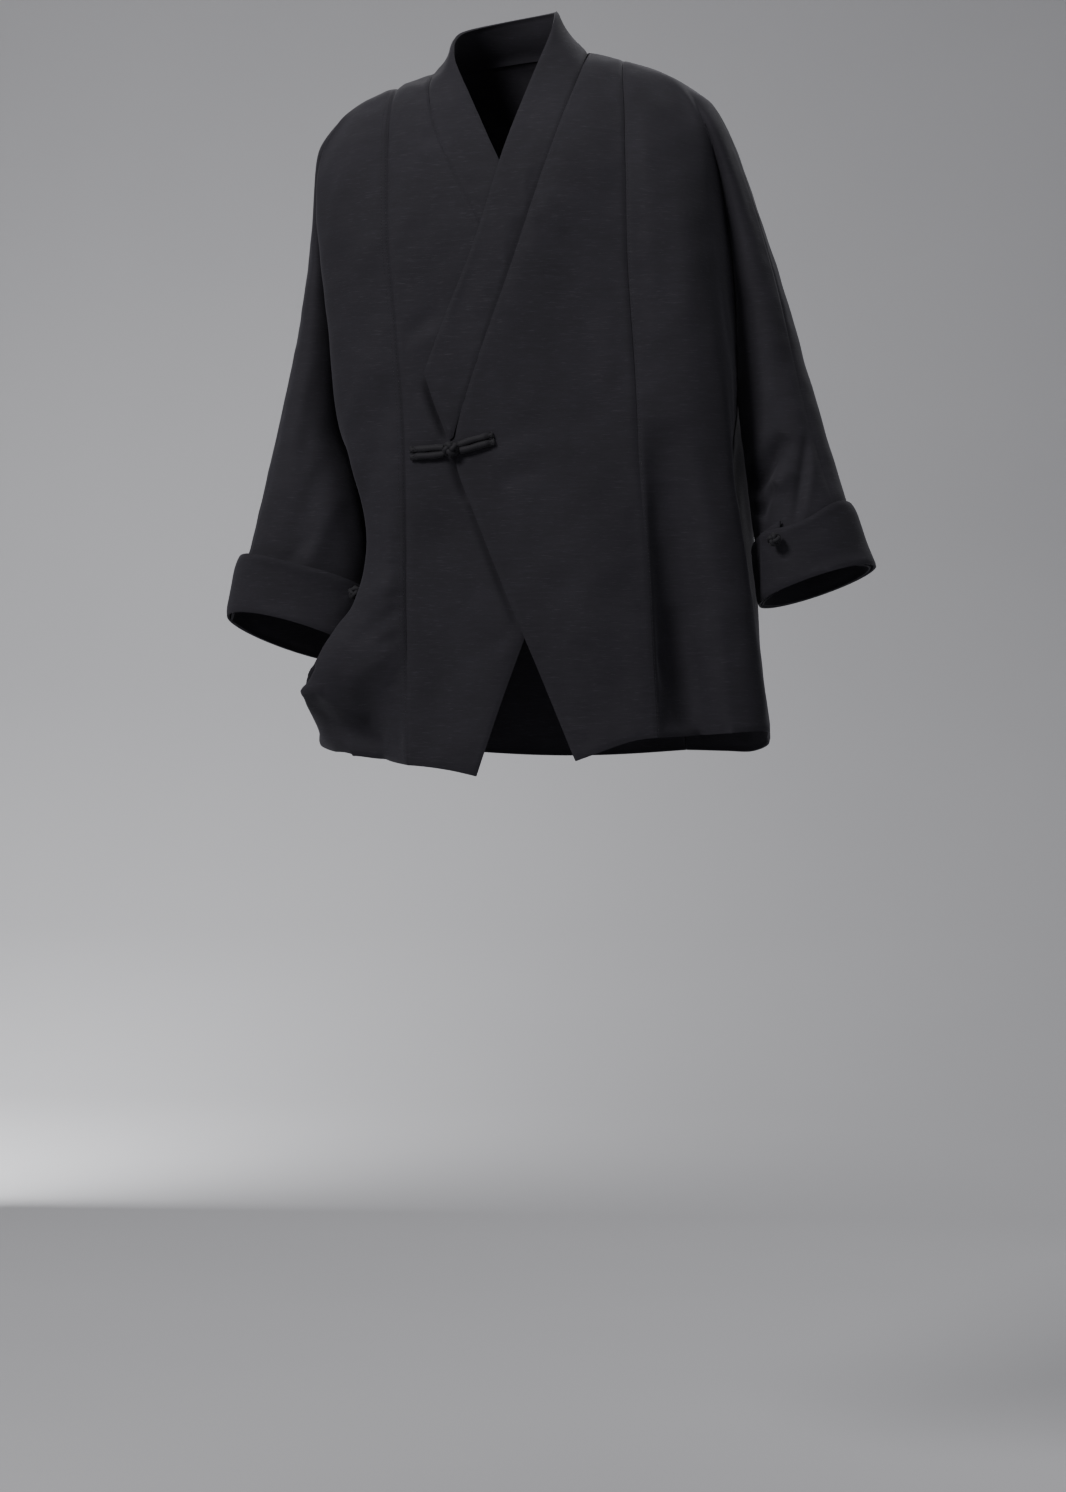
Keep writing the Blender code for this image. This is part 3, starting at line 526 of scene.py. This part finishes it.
# %% [markdown]
# ## Stitches
# Two rows of stitches run beside the right front's panel seam and one beside each of the other three. A
# bump in the material would look flat from close by, so each stitch is a tiny spindle half sunk in the
# cloth. A row follows one side of its sheet's border, which is found as a chain of points between two
# corners.

# %% Sides of a sheet
SIDE_TURN = math.radians(30)


def edge_chains(mesh):
    """The sheet's border as chains of point numbers, cut at its corners."""
    shape = opened(mesh)
    after = {}
    for edge in shape.edges:
        if edge.is_boundary:
            loop = edge.link_loops[0]
            after[loop.vert.index] = loop.link_loop_next.vert.index
    place = {v.index: v.co.copy() for v in shape.verts if v.is_boundary}
    shape.free()
    before = {b: a for a, b in after.items()}
    corners = [
        i for i in after
        if (place[after[i]] - place[i]).angle(place[i] - place[before[i]]) > SIDE_TURN
    ]
    chains = []
    for corner in corners:
        chain = [corner, after[corner]]
        while chain[-1] not in corners:
            chain.append(after[chain[-1]])
        chains.append(chain)
    return chains


print("sides of the over front:", len(edge_chains(cloth["front_over"].data)))

# %% [markdown]
# The stitches lie at even steps along the side. Each one is set in by its distance across the cloth and
# then dropped onto the nearest point of the sheet. The way in is square to the rolled edge, which is
# tilted, so a row far from its edge leaves the sheet. Stitches that land too far off it are left out, and
# of the rows meant for the hem, 25 mm up, only one stitch is left. The hem shows no row on this jacket.

# %% Places of the stitches
STITCH_PITCH = 3.6 * MM
TOO_FAR_OFF = 4 * MM


def stitch_row(name, near, inset):
    """Middle points, directions and normals of the stitches along the side that passes nearest."""
    mesh = cloth[name].data
    places = read_vectors(mesh.vertices, "co")
    target = np.array(near) * MM
    chain = min(edge_chains(mesh), key=lambda c: np.linalg.norm(places[c] - target, axis=1).min())
    path = places[chain]
    steps = np.linalg.norm(np.diff(path, axis=0), axis=1)
    lengths = np.concatenate([[0], np.cumsum(steps)])
    count = int(lengths[-1] / STITCH_PITCH)
    wanted = np.linspace(0, 1, count + 2)[1:-1] * lengths[-1]
    line = np.stack([np.interp(wanted, lengths, column) for column in path.T], axis=1)
    surface = BVHTree.FromPolygons([Vector(p) for p in places], [p.vertices[:] for p in mesh.polygons])
    stitches = []
    for point, way in zip(line, np.gradient(line, axis=0)):
        way = Vector(way).normalized()
        spot, normal, _, _ = surface.find_nearest(Vector(point))
        inward = normal.cross(way)
        spot, normal, _, off = surface.find_nearest(spot + inward * inset * MM)
        if off is not None and off < TOO_FAR_OFF:
            stitches.append((spot, way, normal))
    return stitches


# sheet, a place (across, through, height) near the edge to follow, distance in from it
SEAM_ROWS = (
    ("side_front_right", (-85, -125, -450), 2.4),
    ("side_front_right", (-85, -125, -450), 7.0),
    ("side_front_left", (156, -125, -450), 2.4),
    ("side_back_left", (147, 115, -450), 2.4),
    ("side_back_right", (-95, 115, -450), 2.4),
)
HEM_ROWS = (
    ("side_front_left", (220, -100, -686), 25),
    ("side_front_right", (-120, -110, -712), 25),
    ("front_over", (130, -128, -702), 25),
    ("front_under", (-50, -128, -722), 25),
    ("back_center", (30, 118, -706), 25),
    ("side_back_left", (200, 90, -702), 25),
    ("side_back_right", (-150, 90, -700), 25),
)
seam_stitches = [s for name, near, inset in SEAM_ROWS for s in stitch_row(name, near, inset)]
hem_stitches = [s for name, near, inset in HEM_ROWS for s in stitch_row(name, near, inset)]
print(len(seam_stitches), "seam and", len(hem_stitches), "hem stitches")

# %% [markdown]
# A stitch is drawn with six points: one at each tip and four round its middle. There are a thousand of
# them, so each has only eight faces, and each kind is one mesh.

# %% Stitches as meshes
HALF_STITCH = 1.35 * MM
STITCH_RADIUS = 0.3 * MM


def smooth_piece(name, points, faces):
    """A smooth object from points in metres, with its faces turned outwards."""
    mesh = bpy.data.meshes.new(name)
    mesh.from_pydata([tuple(p) for p in points], [], faces)
    shape = opened(mesh)
    bmesh.ops.recalc_face_normals(shape, faces=shape.faces)
    shape.to_mesh(mesh)
    shape.free()
    mesh.shade_smooth()
    return placed(name, mesh)


def stitch_mesh(name, stitches):
    """All these stitches as one object."""
    points, faces = [], []
    for spot, way, normal in stitches:
        base = len(points)
        half = way * HALF_STITCH
        wide, tall = way.cross(normal).normalized() * STITCH_RADIUS, normal * STITCH_RADIUS
        points += [spot - half, spot + wide, spot + tall, spot - wide, spot - tall, spot + half]
        for i in range(4):
            j = (i + 1) % 4
            faces += [(base, base + 1 + j, base + 1 + i), (base + 5, base + 1 + i, base + 1 + j)]
    return smooth_piece(name, points, faces)


stitching = [stitch_mesh("seam_stitches", seam_stitches), stitch_mesh("hem_stitches", hem_stitches)]
print("stitch faces:", sum(len(obj.data.polygons) for obj in stitching))

# %% [markdown]
# ## Shader maths
# The cloth's finish is a sum of several noises. Its nodes could be added and linked one by one, but sums
# are easier to read as Python. So a small class wraps a node's socket, and each operator on it adds one
# Math node. Colours and vectors go through Mix and Vector Math nodes.

# %% A small language for node trees
MIX_FIRST, MIX_SECOND, MIX_COLOUR = 6, 7, 2


def plug(tree, node, sockets):
    """Gives each of these sockets of a node its value or its link."""
    for key, value in sockets.items():
        if isinstance(value, Wire):
            tree.links.new(value.socket, node.inputs[key])
        else:
            node.inputs[key].default_value = value


class Wire:
    """A socket that can be added, subtracted and multiplied."""

    def __init__(self, tree, socket):
        self.tree = tree
        self.socket = socket

    def node(self, kind, settings, sockets, output):
        """One new node: its settings first, then its sockets."""
        node = self.tree.nodes.new(kind)
        for key, value in settings.items():
            setattr(node, key, value)
        plug(self.tree, node, sockets)
        return Wire(self.tree, node.outputs[output])

    def math(self, operation, first, second):
        return self.node("ShaderNodeMath", {"operation": operation}, {0: first, 1: second}, 0)

    def __add__(self, other):
        return self.math("ADD", self, other)

    def __sub__(self, other):
        return self.math("SUBTRACT", self, other)

    def __rsub__(self, other):
        return self.math("SUBTRACT", other, self)

    def __mul__(self, other):
        return self.math("MULTIPLY", self, other)

    __radd__ = __add__
    __rmul__ = __mul__

    def ramp(self, low, high):
        """0 below low and 1 above high, smoothly."""
        sockets = {"Value": self, "From Min": low, "From Max": high}
        return self.node("ShaderNodeMapRange", {"interpolation_type": "SMOOTHSTEP"}, sockets, "Result")

    def stretched(self, x, y, z):
        """This vector with each part multiplied."""
        sockets = {0: self, 1: (x, y, z)}
        return self.node("ShaderNodeVectorMath", {"operation": "MULTIPLY"}, sockets, "Vector")

    def noise(self, scale, detail=2.0, roughness=0.5):
        """Noise between 0 and 1 at this vector."""
        sockets = {"Vector": self, "Scale": scale, "Detail": detail, "Roughness": roughness}
        return self.node("ShaderNodeTexNoise", {}, sockets, "Fac")

    def between(self, first, second):
        """The colour that lies this far from the first to the second."""
        sockets = {"Factor": self, MIX_FIRST: (*first, 1), MIX_SECOND: (*second, 1)}
        return self.node("ShaderNodeMix", {"data_type": "RGBA"}, sockets, MIX_COLOUR)

    def bump(self, strength, distance):
        """The normal that this height gives."""
        sockets = {"Strength": strength, "Distance": distance, "Height": self}
        return self.node("ShaderNodeBump", {}, sockets, "Normal")


def new_material(name):
    """A Principled material, its tree and its shader."""
    material = bpy.data.materials.new(name)
    material.use_nodes = True
    tree = material.node_tree
    return material, tree, tree.nodes["Principled BSDF"]


print("a wire can be added, subtracted and multiplied")

# %% [markdown]
# ## The cloth
# The jacket is cut from a matte black crepe with thick and thin weft threads, which show as short level
# slubs. An image of the weave could be laid on, but noise needs no file and never repeats. It is stretched
# along the grain, so the slubs follow the cloth over the shoulders. A little sheen gives the soft grey
# bloom that black cloth has at a low angle.

# %% Cloth material
INK = (0.0071, 0.0064, 0.0095)
INK_WORN = (0.0147, 0.0133, 0.0192)
# Waves in each metre across, through and down the cloth
SLUB_RATE = (95, 95, 1150)
THREAD_RATE = (240, 240, 2800)
STREAK_RATE = (30, 30, 330)
BUMP_STRENGTH = 0.5
BUMP_HEIGHT = 0.0003


def cloth_material(name):
    """Black crepe whose slubs run across the grain."""
    material, tree, shader = new_material(name)
    attribute = tree.nodes.new("ShaderNodeAttribute")
    attribute.attribute_name = "grain"
    grain = Wire(tree, attribute.outputs["Vector"])
    slub = grain.stretched(*SLUB_RATE).noise(1.0, 2.0, 0.55).ramp(0.55, 0.80)
    thread = grain.stretched(*THREAD_RATE).noise(1.0, 1.0)
    crepe = grain.noise(1500, 2.0, 0.6)
    cloud = grain.noise(14, 3.0, 0.55)
    streak = grain.stretched(*STREAK_RATE).noise(1.0, 3.0, 0.6)
    shade = 0.22 * cloud + 0.26 * streak + 0.28 * slub + 0.14 * thread + 0.10 * crepe
    relief = 0.45 * slub + 0.25 * thread + 0.40 * crepe
    plug(tree, shader, {
        "Base Color": shade.ramp(0.18, 0.66).between(INK, INK_WORN),
        "Roughness": 0.92 - 0.12 * slub - 0.08 * cloud,
        "Normal": relief.bump(BUMP_STRENGTH, BUMP_HEIGHT),
        "Specular IOR Level": 0.34,
        "Sheen Weight": 0.07,
        "Sheen Roughness": 0.42,
        "Sheen Tint": (0.80, 0.79, 0.92, 1),
    })
    return material


print("slubs are about", round(1 / SLUB_RATE[2], 4), "m high and", round(1 / SLUB_RATE[0], 3), "m long")

# %% [markdown]
# ## Thickness
# Cloth has two sides and an edge. Solidify adds the inner side under the finished outer one, so folds and
# puckers show inside too. The band and the cuffs are doubled cloth and so are thicker.

# %% Thickness and finish
SINGLE_THICKNESS = 1.6 * MM
DOUBLED_THICKNESS = 2.4 * MM
SMOOTH_UP_TO = math.radians(50)

for name, obj in cloth.items():
    thickness = DOUBLED_THICKNESS if name in DOUBLED else SINGLE_THICKNESS
    applied(obj, "SOLIDIFY", thickness=thickness, offset=-1, use_rim=True)
    bpy.ops.object.shade_smooth_by_angle(angle=SMOOTH_UP_TO)
    obj.data.materials.clear()
    obj.data.materials.append(cloth_material(name + "_cloth"))
total = sum(sum(len(p.vertices) - 2 for p in obj.data.polygons) for obj in cloth.values())
print("cloth triangles:", total)

# %% [markdown]
# ## Cords
# The frog and the knot buttons are made of bias cords: narrow strips of the same crepe, rolled and sewn. A
# curve with a round bevel could draw them, but the cords of the bars are pressed flat at one end, so both
# kinds are built ring by ring along a path. A closed path shares out the twist between its first and last
# ring.

# %% Round cords
def ring_frames(path, closed):
    """Two directions across the cord at each point of its path, and the twist left at the end."""
    ways = np.roll(path, -1, axis=0) - np.roll(path, 1, axis=0)
    if not closed:
        ways[0], ways[-1] = path[1] - path[0], path[-1] - path[-2]
    ways /= np.linalg.norm(ways, axis=1)[:, None]
    side = np.cross(ways[0], (0.3, 1, 0.2))
    side /= np.linalg.norm(side)
    frames = []
    for way in ways:
        side = side - way * (side @ way)
        side /= np.linalg.norm(side)
        frames.append((side, np.cross(way, side)))
    if not closed:
        return frames, 0.0
    last = frames[-1][0] - ways[0] * (frames[-1][0] @ ways[0])
    return frames, math.atan2(last @ frames[0][1], last @ frames[0][0])


def ring_faces(rings, sides, closed):
    """Four-sided faces between rings, and a cap at each end of an open cord."""
    faces = []
    for i in range(rings if closed else rings - 1):
        k = (i + 1) % rings
        for j in range(sides):
            m = (j + 1) % sides
            faces.append((i * sides + j, i * sides + m, k * sides + m, k * sides + j))
    if not closed:
        faces += [tuple(range(sides))[::-1], tuple((rings - 1) * sides + j for j in range(sides))]
    return faces


def tube(path, radii, sides=10, closed=False):
    """A round cord along a path of points with a radius at each one."""
    path = np.array(path, float)
    frames, twist = ring_frames(path, closed)
    points = []
    for i, (centre, (a, b)) in enumerate(zip(path, frames)):
        back = -twist * i / len(path)
        for j in range(sides):
            angle = 2 * math.pi * j / sides + back
            points.append(centre + radii[i] * (np.cos(angle) * a + np.sin(angle) * b))
    return points, ring_faces(len(path), sides, closed)


def cord_piece(name, parts):
    """One object from several (points, faces) parts in millimetres."""
    points, faces = [], []
    for more, more_faces in parts:
        base = len(points)
        points += [np.array(p) * MM for p in more]
        faces += [tuple(base + i for i in face) for face in more_faces]
    return smooth_piece(name, points, faces)


print("a closed cord of 4 rings has", len(ring_faces(4, 10, True)), "faces")

# %% [markdown]
# ## Knot buttons
# The real ball is one strand woven over and under itself. A ball with a woven bump would show a smooth
# outline, so the strand is drawn for real: a closed curve that goes three times round a ball, rises and
# falls four times and moves in and out where it crosses itself. A plain ball fills the middle.

# %% Woven knots
KNOT_RISE = math.radians(64)
KNOT_ROUNDS = 3
KNOT_STEPS = 150
WEAVE_SHARE = 0.42
STRAND_SHARE = 0.33
CORE_SHARE = 0.6


def knot_path(centre, radius, outward, strand, lean):
    """The strand's path: three rounds, four waves, over and under in turn."""
    a = np.cross(outward, (math.sin(lean), 0, math.cos(lean)))
    a /= np.linalg.norm(a)
    b = np.cross(outward, a)
    path = []
    for t in np.linspace(0, 2 * KNOT_ROUNDS * math.pi, KNOT_STEPS, endpoint=False):
        rise = KNOT_RISE * math.cos(4 * t / KNOT_ROUNDS)
        reach = radius - strand + WEAVE_SHARE * strand * math.sin(8 * t / KNOT_ROUNDS)
        flat = math.cos(rise) * (math.cos(t) * a + math.sin(t) * b)
        path.append(centre + reach * (flat + math.sin(rise) * outward))
    return path


def ball(centre, radius, sides=12, rings=7):
    """A plain core that fills the knot."""
    points, faces = [], []
    for i in range(1, rings):
        for j in range(sides):
            polar, turn = math.pi * i / rings, 2 * math.pi * j / sides
            ring = (math.sin(polar) * math.cos(turn), math.sin(polar) * math.sin(turn), math.cos(polar))
            points.append(centre + radius * np.array(ring))
    points += [centre + (0, 0, radius), centre - (0, 0, radius)]
    top, bottom = len(points) - 2, len(points) - 1
    for j in range(sides):
        k = (j + 1) % sides
        faces += [(top, j, k), (bottom, (rings - 2) * sides + k, (rings - 2) * sides + j)]
        for i in range(rings - 2):
            faces.append((i * sides + j, (i + 1) * sides + j, (i + 1) * sides + k, i * sides + k))
    return points, faces


def woven_knot(node, outward, lean, lift):
    """A knot at the place and size of its node, moved out by lift and turned by lean."""
    low, high = (np.array(corner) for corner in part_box(node))
    outward = np.array(outward, float) / np.linalg.norm(outward)
    middle = (low + high) / 2 / MM + outward * lift
    radius = (high[0] - low[0]) / MM / 2
    strand = radius * STRAND_SHARE
    path = knot_path(middle, radius, outward, strand, lean)
    weave = tube(path, [strand] * len(path), closed=True)
    return cord_piece(node + "_weave", [weave, ball(middle, radius * CORE_SHARE)])


# node: the way it looks, its lean in radians and its lift in millimetres
KNOTS = {
    "frog_knot": ((-0.1, -1, 0.1), 0.3, 0.0),
    "cuff_knot_left": ((-0.2, -1, 0), 0.8, 2.4),
    "cuff_knot_right": ((0.9, -0.6, -0.1), 0.5, 1.0),
}
knots = {node: woven_knot(node, *row) for node, row in KNOTS.items()}
print("knots:", sorted(knots))

# %% [markdown]
# ## Bars of the frog
# Each bar is two cords side by side, sewn down on the front. They draw together towards the knot. Their
# far ends are pressed flat under a short row of small stitches. Straight cords would cut into the cloth or
# float over it, so each step of a cord looks up where the cloth lies under it.

# %% The way down to the cloth
CLEARANCE = 0.3
RAY_START = -0.4


def surface_y(x, z, names):
    """Where a line from the front first meets these sheets."""
    hits = []
    for name in names:
        hit, place, _, _ = cloth[name].ray_cast(Vector((x * MM, RAY_START, z * MM)), Vector((0, 1, 0)))
        if hit:
            hits.append(place.y)
    return min(hits) / MM


print("the over front lies at", round(surface_y(10, -396, ["front_over"]), 1), "mm under the tail bar")

# %% [markdown]
# The section of a bar's cord is an oval: its width follows the bar, and its depth is less where the cord
# is pressed. A slight wander and swelling keep the two from being copies of each other.

# %% Frog bars
# The cord's half width, the overlap of two cords and half a tack, in millimetres
CORD = 3.7
CORD_OVERLAP = 0.15
TACK_HALF = 1.6
# Shares of the cord's size: its oval, what it draws in by the knot, its pressed depth, the tacks' span
OVAL = 0.97
NARROWING = 0.16
PRESSED = 0.6
TACK_SPAN = 3.4
# Shares of the bar's length: the pressed end, and the two places where tacks lie in turn
PRESSED_SHARE = 0.12
TACK_SHARES = (0.07, 0.10)
CORD_STEPS = 34
TACKS = 5
# bar: its far end and its end at the knot (across, height), and the sheets under it
BARS = {
    "frog_loop_bar": ((-76, -409), (-40.3, -407.5), ["front_under", "side_front_right"]),
    "frog_tail_bar": ((10, -396), (-23.8, -404.9), ["front_over", "collar_band"]),
}


def flat_tube(path, sections, sides=12):
    """A cord of oval section, wide up the bar and pressed towards the cloth."""
    points = []
    for centre, way, (wide, deep) in zip(path, np.gradient(np.array(path), axis=0), sections):
        way = way / np.linalg.norm(way)
        up = np.cross((0, 1, 0), way)
        up /= np.linalg.norm(up)
        out = np.cross(way, up)
        for j in range(sides):
            angle = 2 * math.pi * j / sides
            off = wide * OVAL * math.cos(angle) * up + deep * math.sin(angle) * out
            points.append(np.array(centre) + off)
    return points, ring_faces(len(path), sides, False)


def frog_bar(name, start, end, names):
    """The two cords of a bar and the tacks over their far ends."""
    start, end = np.array(start, float), np.array(end, float)
    run = end - start
    length = np.linalg.norm(run)
    run /= length
    upright = np.array([-run[1], run[0]])
    parts = []
    for way in (1, -1):
        path, sections = [], []
        for share in np.linspace(0, 1, CORD_STEPS):
            wander = 0.18 * math.sin(9 * share + way)
            spread = (CORD - CORD_OVERLAP) * way * (1 - NARROWING * share**4) + wander
            x, z = start + run * length * share + upright * spread
            full = min(1, max(0, (share - PRESSED_SHARE) / PRESSED_SHARE))
            pressed = PRESSED + (1 - PRESSED) * full
            swelling = 1 + 0.03 * math.sin(14 * share + 2 * way)
            path.append((x, surface_y(x, z, names) - CLEARANCE - CORD * pressed, z))
            sections.append((CORD * (0.8 + 0.2 * pressed) * swelling, CORD * pressed))
        parts.append(flat_tube(path, sections))
    for k in range(TACKS):
        share = TACK_SHARES[k % 2]
        lift = CORD * TACK_SPAN * (k / (TACKS - 1) - 0.5)
        x, z = start + run * length * share + upright * lift
        y = surface_y(x, z, names) - CLEARANCE - 2 * CORD * PRESSED + 0.1
        dx, dz = run * TACK_HALF
        tip = [(x - dx, y + 0.1, z - dz), (x, y - 0.15, z), (x + dx, y + 0.1, z + dz)]
        parts.append(tube(tip, [0.2, 0.34, 0.2], 6))
    return cord_piece(name + "_cords", parts)


bars = {name: frog_bar(name, *row) for name, row in BARS.items()}
print("bars:", sorted(bars))

# %% [markdown]
# ## Cord and thread
# A cord is the same cloth cut on the slant, so its threads cross it at an angle and it looks a little
# darker and smoother. It is too small for the grain of the panels. Its noise reads the object's own
# coordinates instead, and the stitches share that finish in a finer and lighter form.

# %% Cord and thread materials
def object_place(tree):
    """A wire with each point's place on its own object."""
    return Wire(tree, tree.nodes.new("ShaderNodeTexCoord").outputs["Object"])


def cord_material(name, base, fine):
    """Bias-cut cord: the same cloth with its threads running slantwise."""
    material, tree, shader = new_material(name)
    spot = object_place(tree)
    grainy = spot.noise(fine, 3.0, 0.6)
    slant = spot.stretched(900, 300, 1500).noise(1.0, 1.0)
    tone = 0.6 * grainy + 0.4 * slant
    plug(tree, shader, {
        "Base Color": tone.ramp(0.25, 0.75).between(base, tuple(1.6 * v for v in base)),
        "Roughness": 0.85 - 0.15 * grainy,
        "Normal": tone.bump(BUMP_STRENGTH, BUMP_HEIGHT),
        "Specular IOR Level": 0.3,
        "Sheen Weight": 0.04,
        "Sheen Roughness": 0.4,
    })
    return material


cord = cord_material("frog_cord", (0.0062, 0.0058, 0.0078), 1800)
thread = cord_material("thread", (0.0085, 0.0082, 0.0108), 3000)
for obj in [*knots.values(), *bars.values()]:
    obj.data.materials.append(cord)
for obj in stitching:
    obj.data.materials.append(thread)
print("finishes:", cord.name, "and", thread.name)

# %% [markdown]
# ## Riding and replacing
# Each new piece stands for the imported node that it dresses. The area of one side of each piece of cloth
# is measured here. The areas measured here lie between a fifth under the stated ones and just over them.

# %% Riding and replacing
for name, obj in cloth.items():
    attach(obj, "root")
    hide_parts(name)
    shape = opened(obj.data)
    side = sum(face.calc_area() for face in shape.faces) / 2
    shape.free()
for name, obj in [*knots.items(), *bars.items()]:
    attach(obj, "root")
    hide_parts(name)
for obj in stitching:
    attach(obj, "root")

# %% [markdown]
# ## Studio
# The photograph has a plain grey ground that is lighter low on the left. A sweep of paper gives that:
# floor, curve and wall in one smooth sheet, with a faint mottle so that it isn't dead flat.

# %% Sweep
FLOOR = -1.52
HALF_WIDTH = 12
SWEEP = ((-9, 0), (2.6, 0), (3.6, 0.08), (4.4, 0.4), (5.0, 1.0), (5.3, 1.8), (5.4, 2.8), (5.4, 7))
PAPER, PAPER_LIGHT = (0.375, 0.375, 0.39), (0.41, 0.41, 0.425)

points = [(x, y, FLOOR + z) for y, z in SWEEP for x in (-HALF_WIDTH, HALF_WIDTH)]
faces = [(2 * i, 2 * i + 1, 2 * i + 3, 2 * i + 2) for i in range(len(SWEEP) - 1)]
mesh = bpy.data.meshes.new("studio_sweep")
mesh.from_pydata(points, [], faces)
mesh.shade_smooth()
sweep = placed("studio_sweep", mesh)
material, tree, shader = new_material("studio_paper")
mottle = object_place(tree).noise(1.2, 3.0)
plug(tree, shader, {"Base Color": mottle.between(PAPER, PAPER_LIGHT), "Roughness": 0.95})
mesh.materials.append(material)
print("sweep of", len(faces), "faces")

# %% [markdown]
# ## Lamps
# One large lamp at the front left shapes the folds. A weak one at the right and one above soften its
# shadows, two behind draw the jacket's outline, and one lights the ground low on the left. The world adds
# a little light from all around, which black cloth needs to show any form in its shadows.

# %% Lamps and world
# name, place, aims at, size, power, colour
LAMPS = (
    ("key", (-1.75, -3.2, 1.9), (0, 0, -0.4), 1.3, 158, (1.0, 0.985, 0.985)),
    ("fill", (2.9, -2.4, 0.1), (0, 0, -0.5), 1.8, 11, (0.97, 0.97, 1.0)),
    ("top", (0.0, -0.4, 2.8), (0, 0, -0.3), 1.8, 30, (1.0, 1.0, 1.0)),
    ("back_left", (1.2, 3.0, 2.0), (0, 0, -0.4), 1.6, 34, (1.0, 1.0, 1.0)),
    ("back_right", (-1.2, 3.0, 2.0), (0, 0, -0.4), 1.6, 34, (1.0, 1.0, 1.0)),
    ("wall", (-2.1, 2.5, -0.6), (-2.4, 5.2, -1.0), 1.8, 62, (1.0, 1.0, 1.0)),
)
for name, spot, aim, size, power, colour in LAMPS:
    data = bpy.data.lights.new(name, "AREA")
    data.shape = "DISK"
    data.size = size
    data.energy = power
    data.color = colour
    lamp = placed(name, data)
    lamp.location = spot
    lamp.rotation_euler = (Vector(aim) - Vector(spot)).to_track_quat("-Z", "Y").to_euler()

world = bpy.data.worlds.new("studio")
world.use_nodes = True
background = world.node_tree.nodes["Background"]
background.inputs["Color"].default_value = (0.80, 0.80, 0.83, 1)
background.inputs["Strength"].default_value = 0.28
bpy.context.scene.world = world
print(len(LAMPS), "lamps")
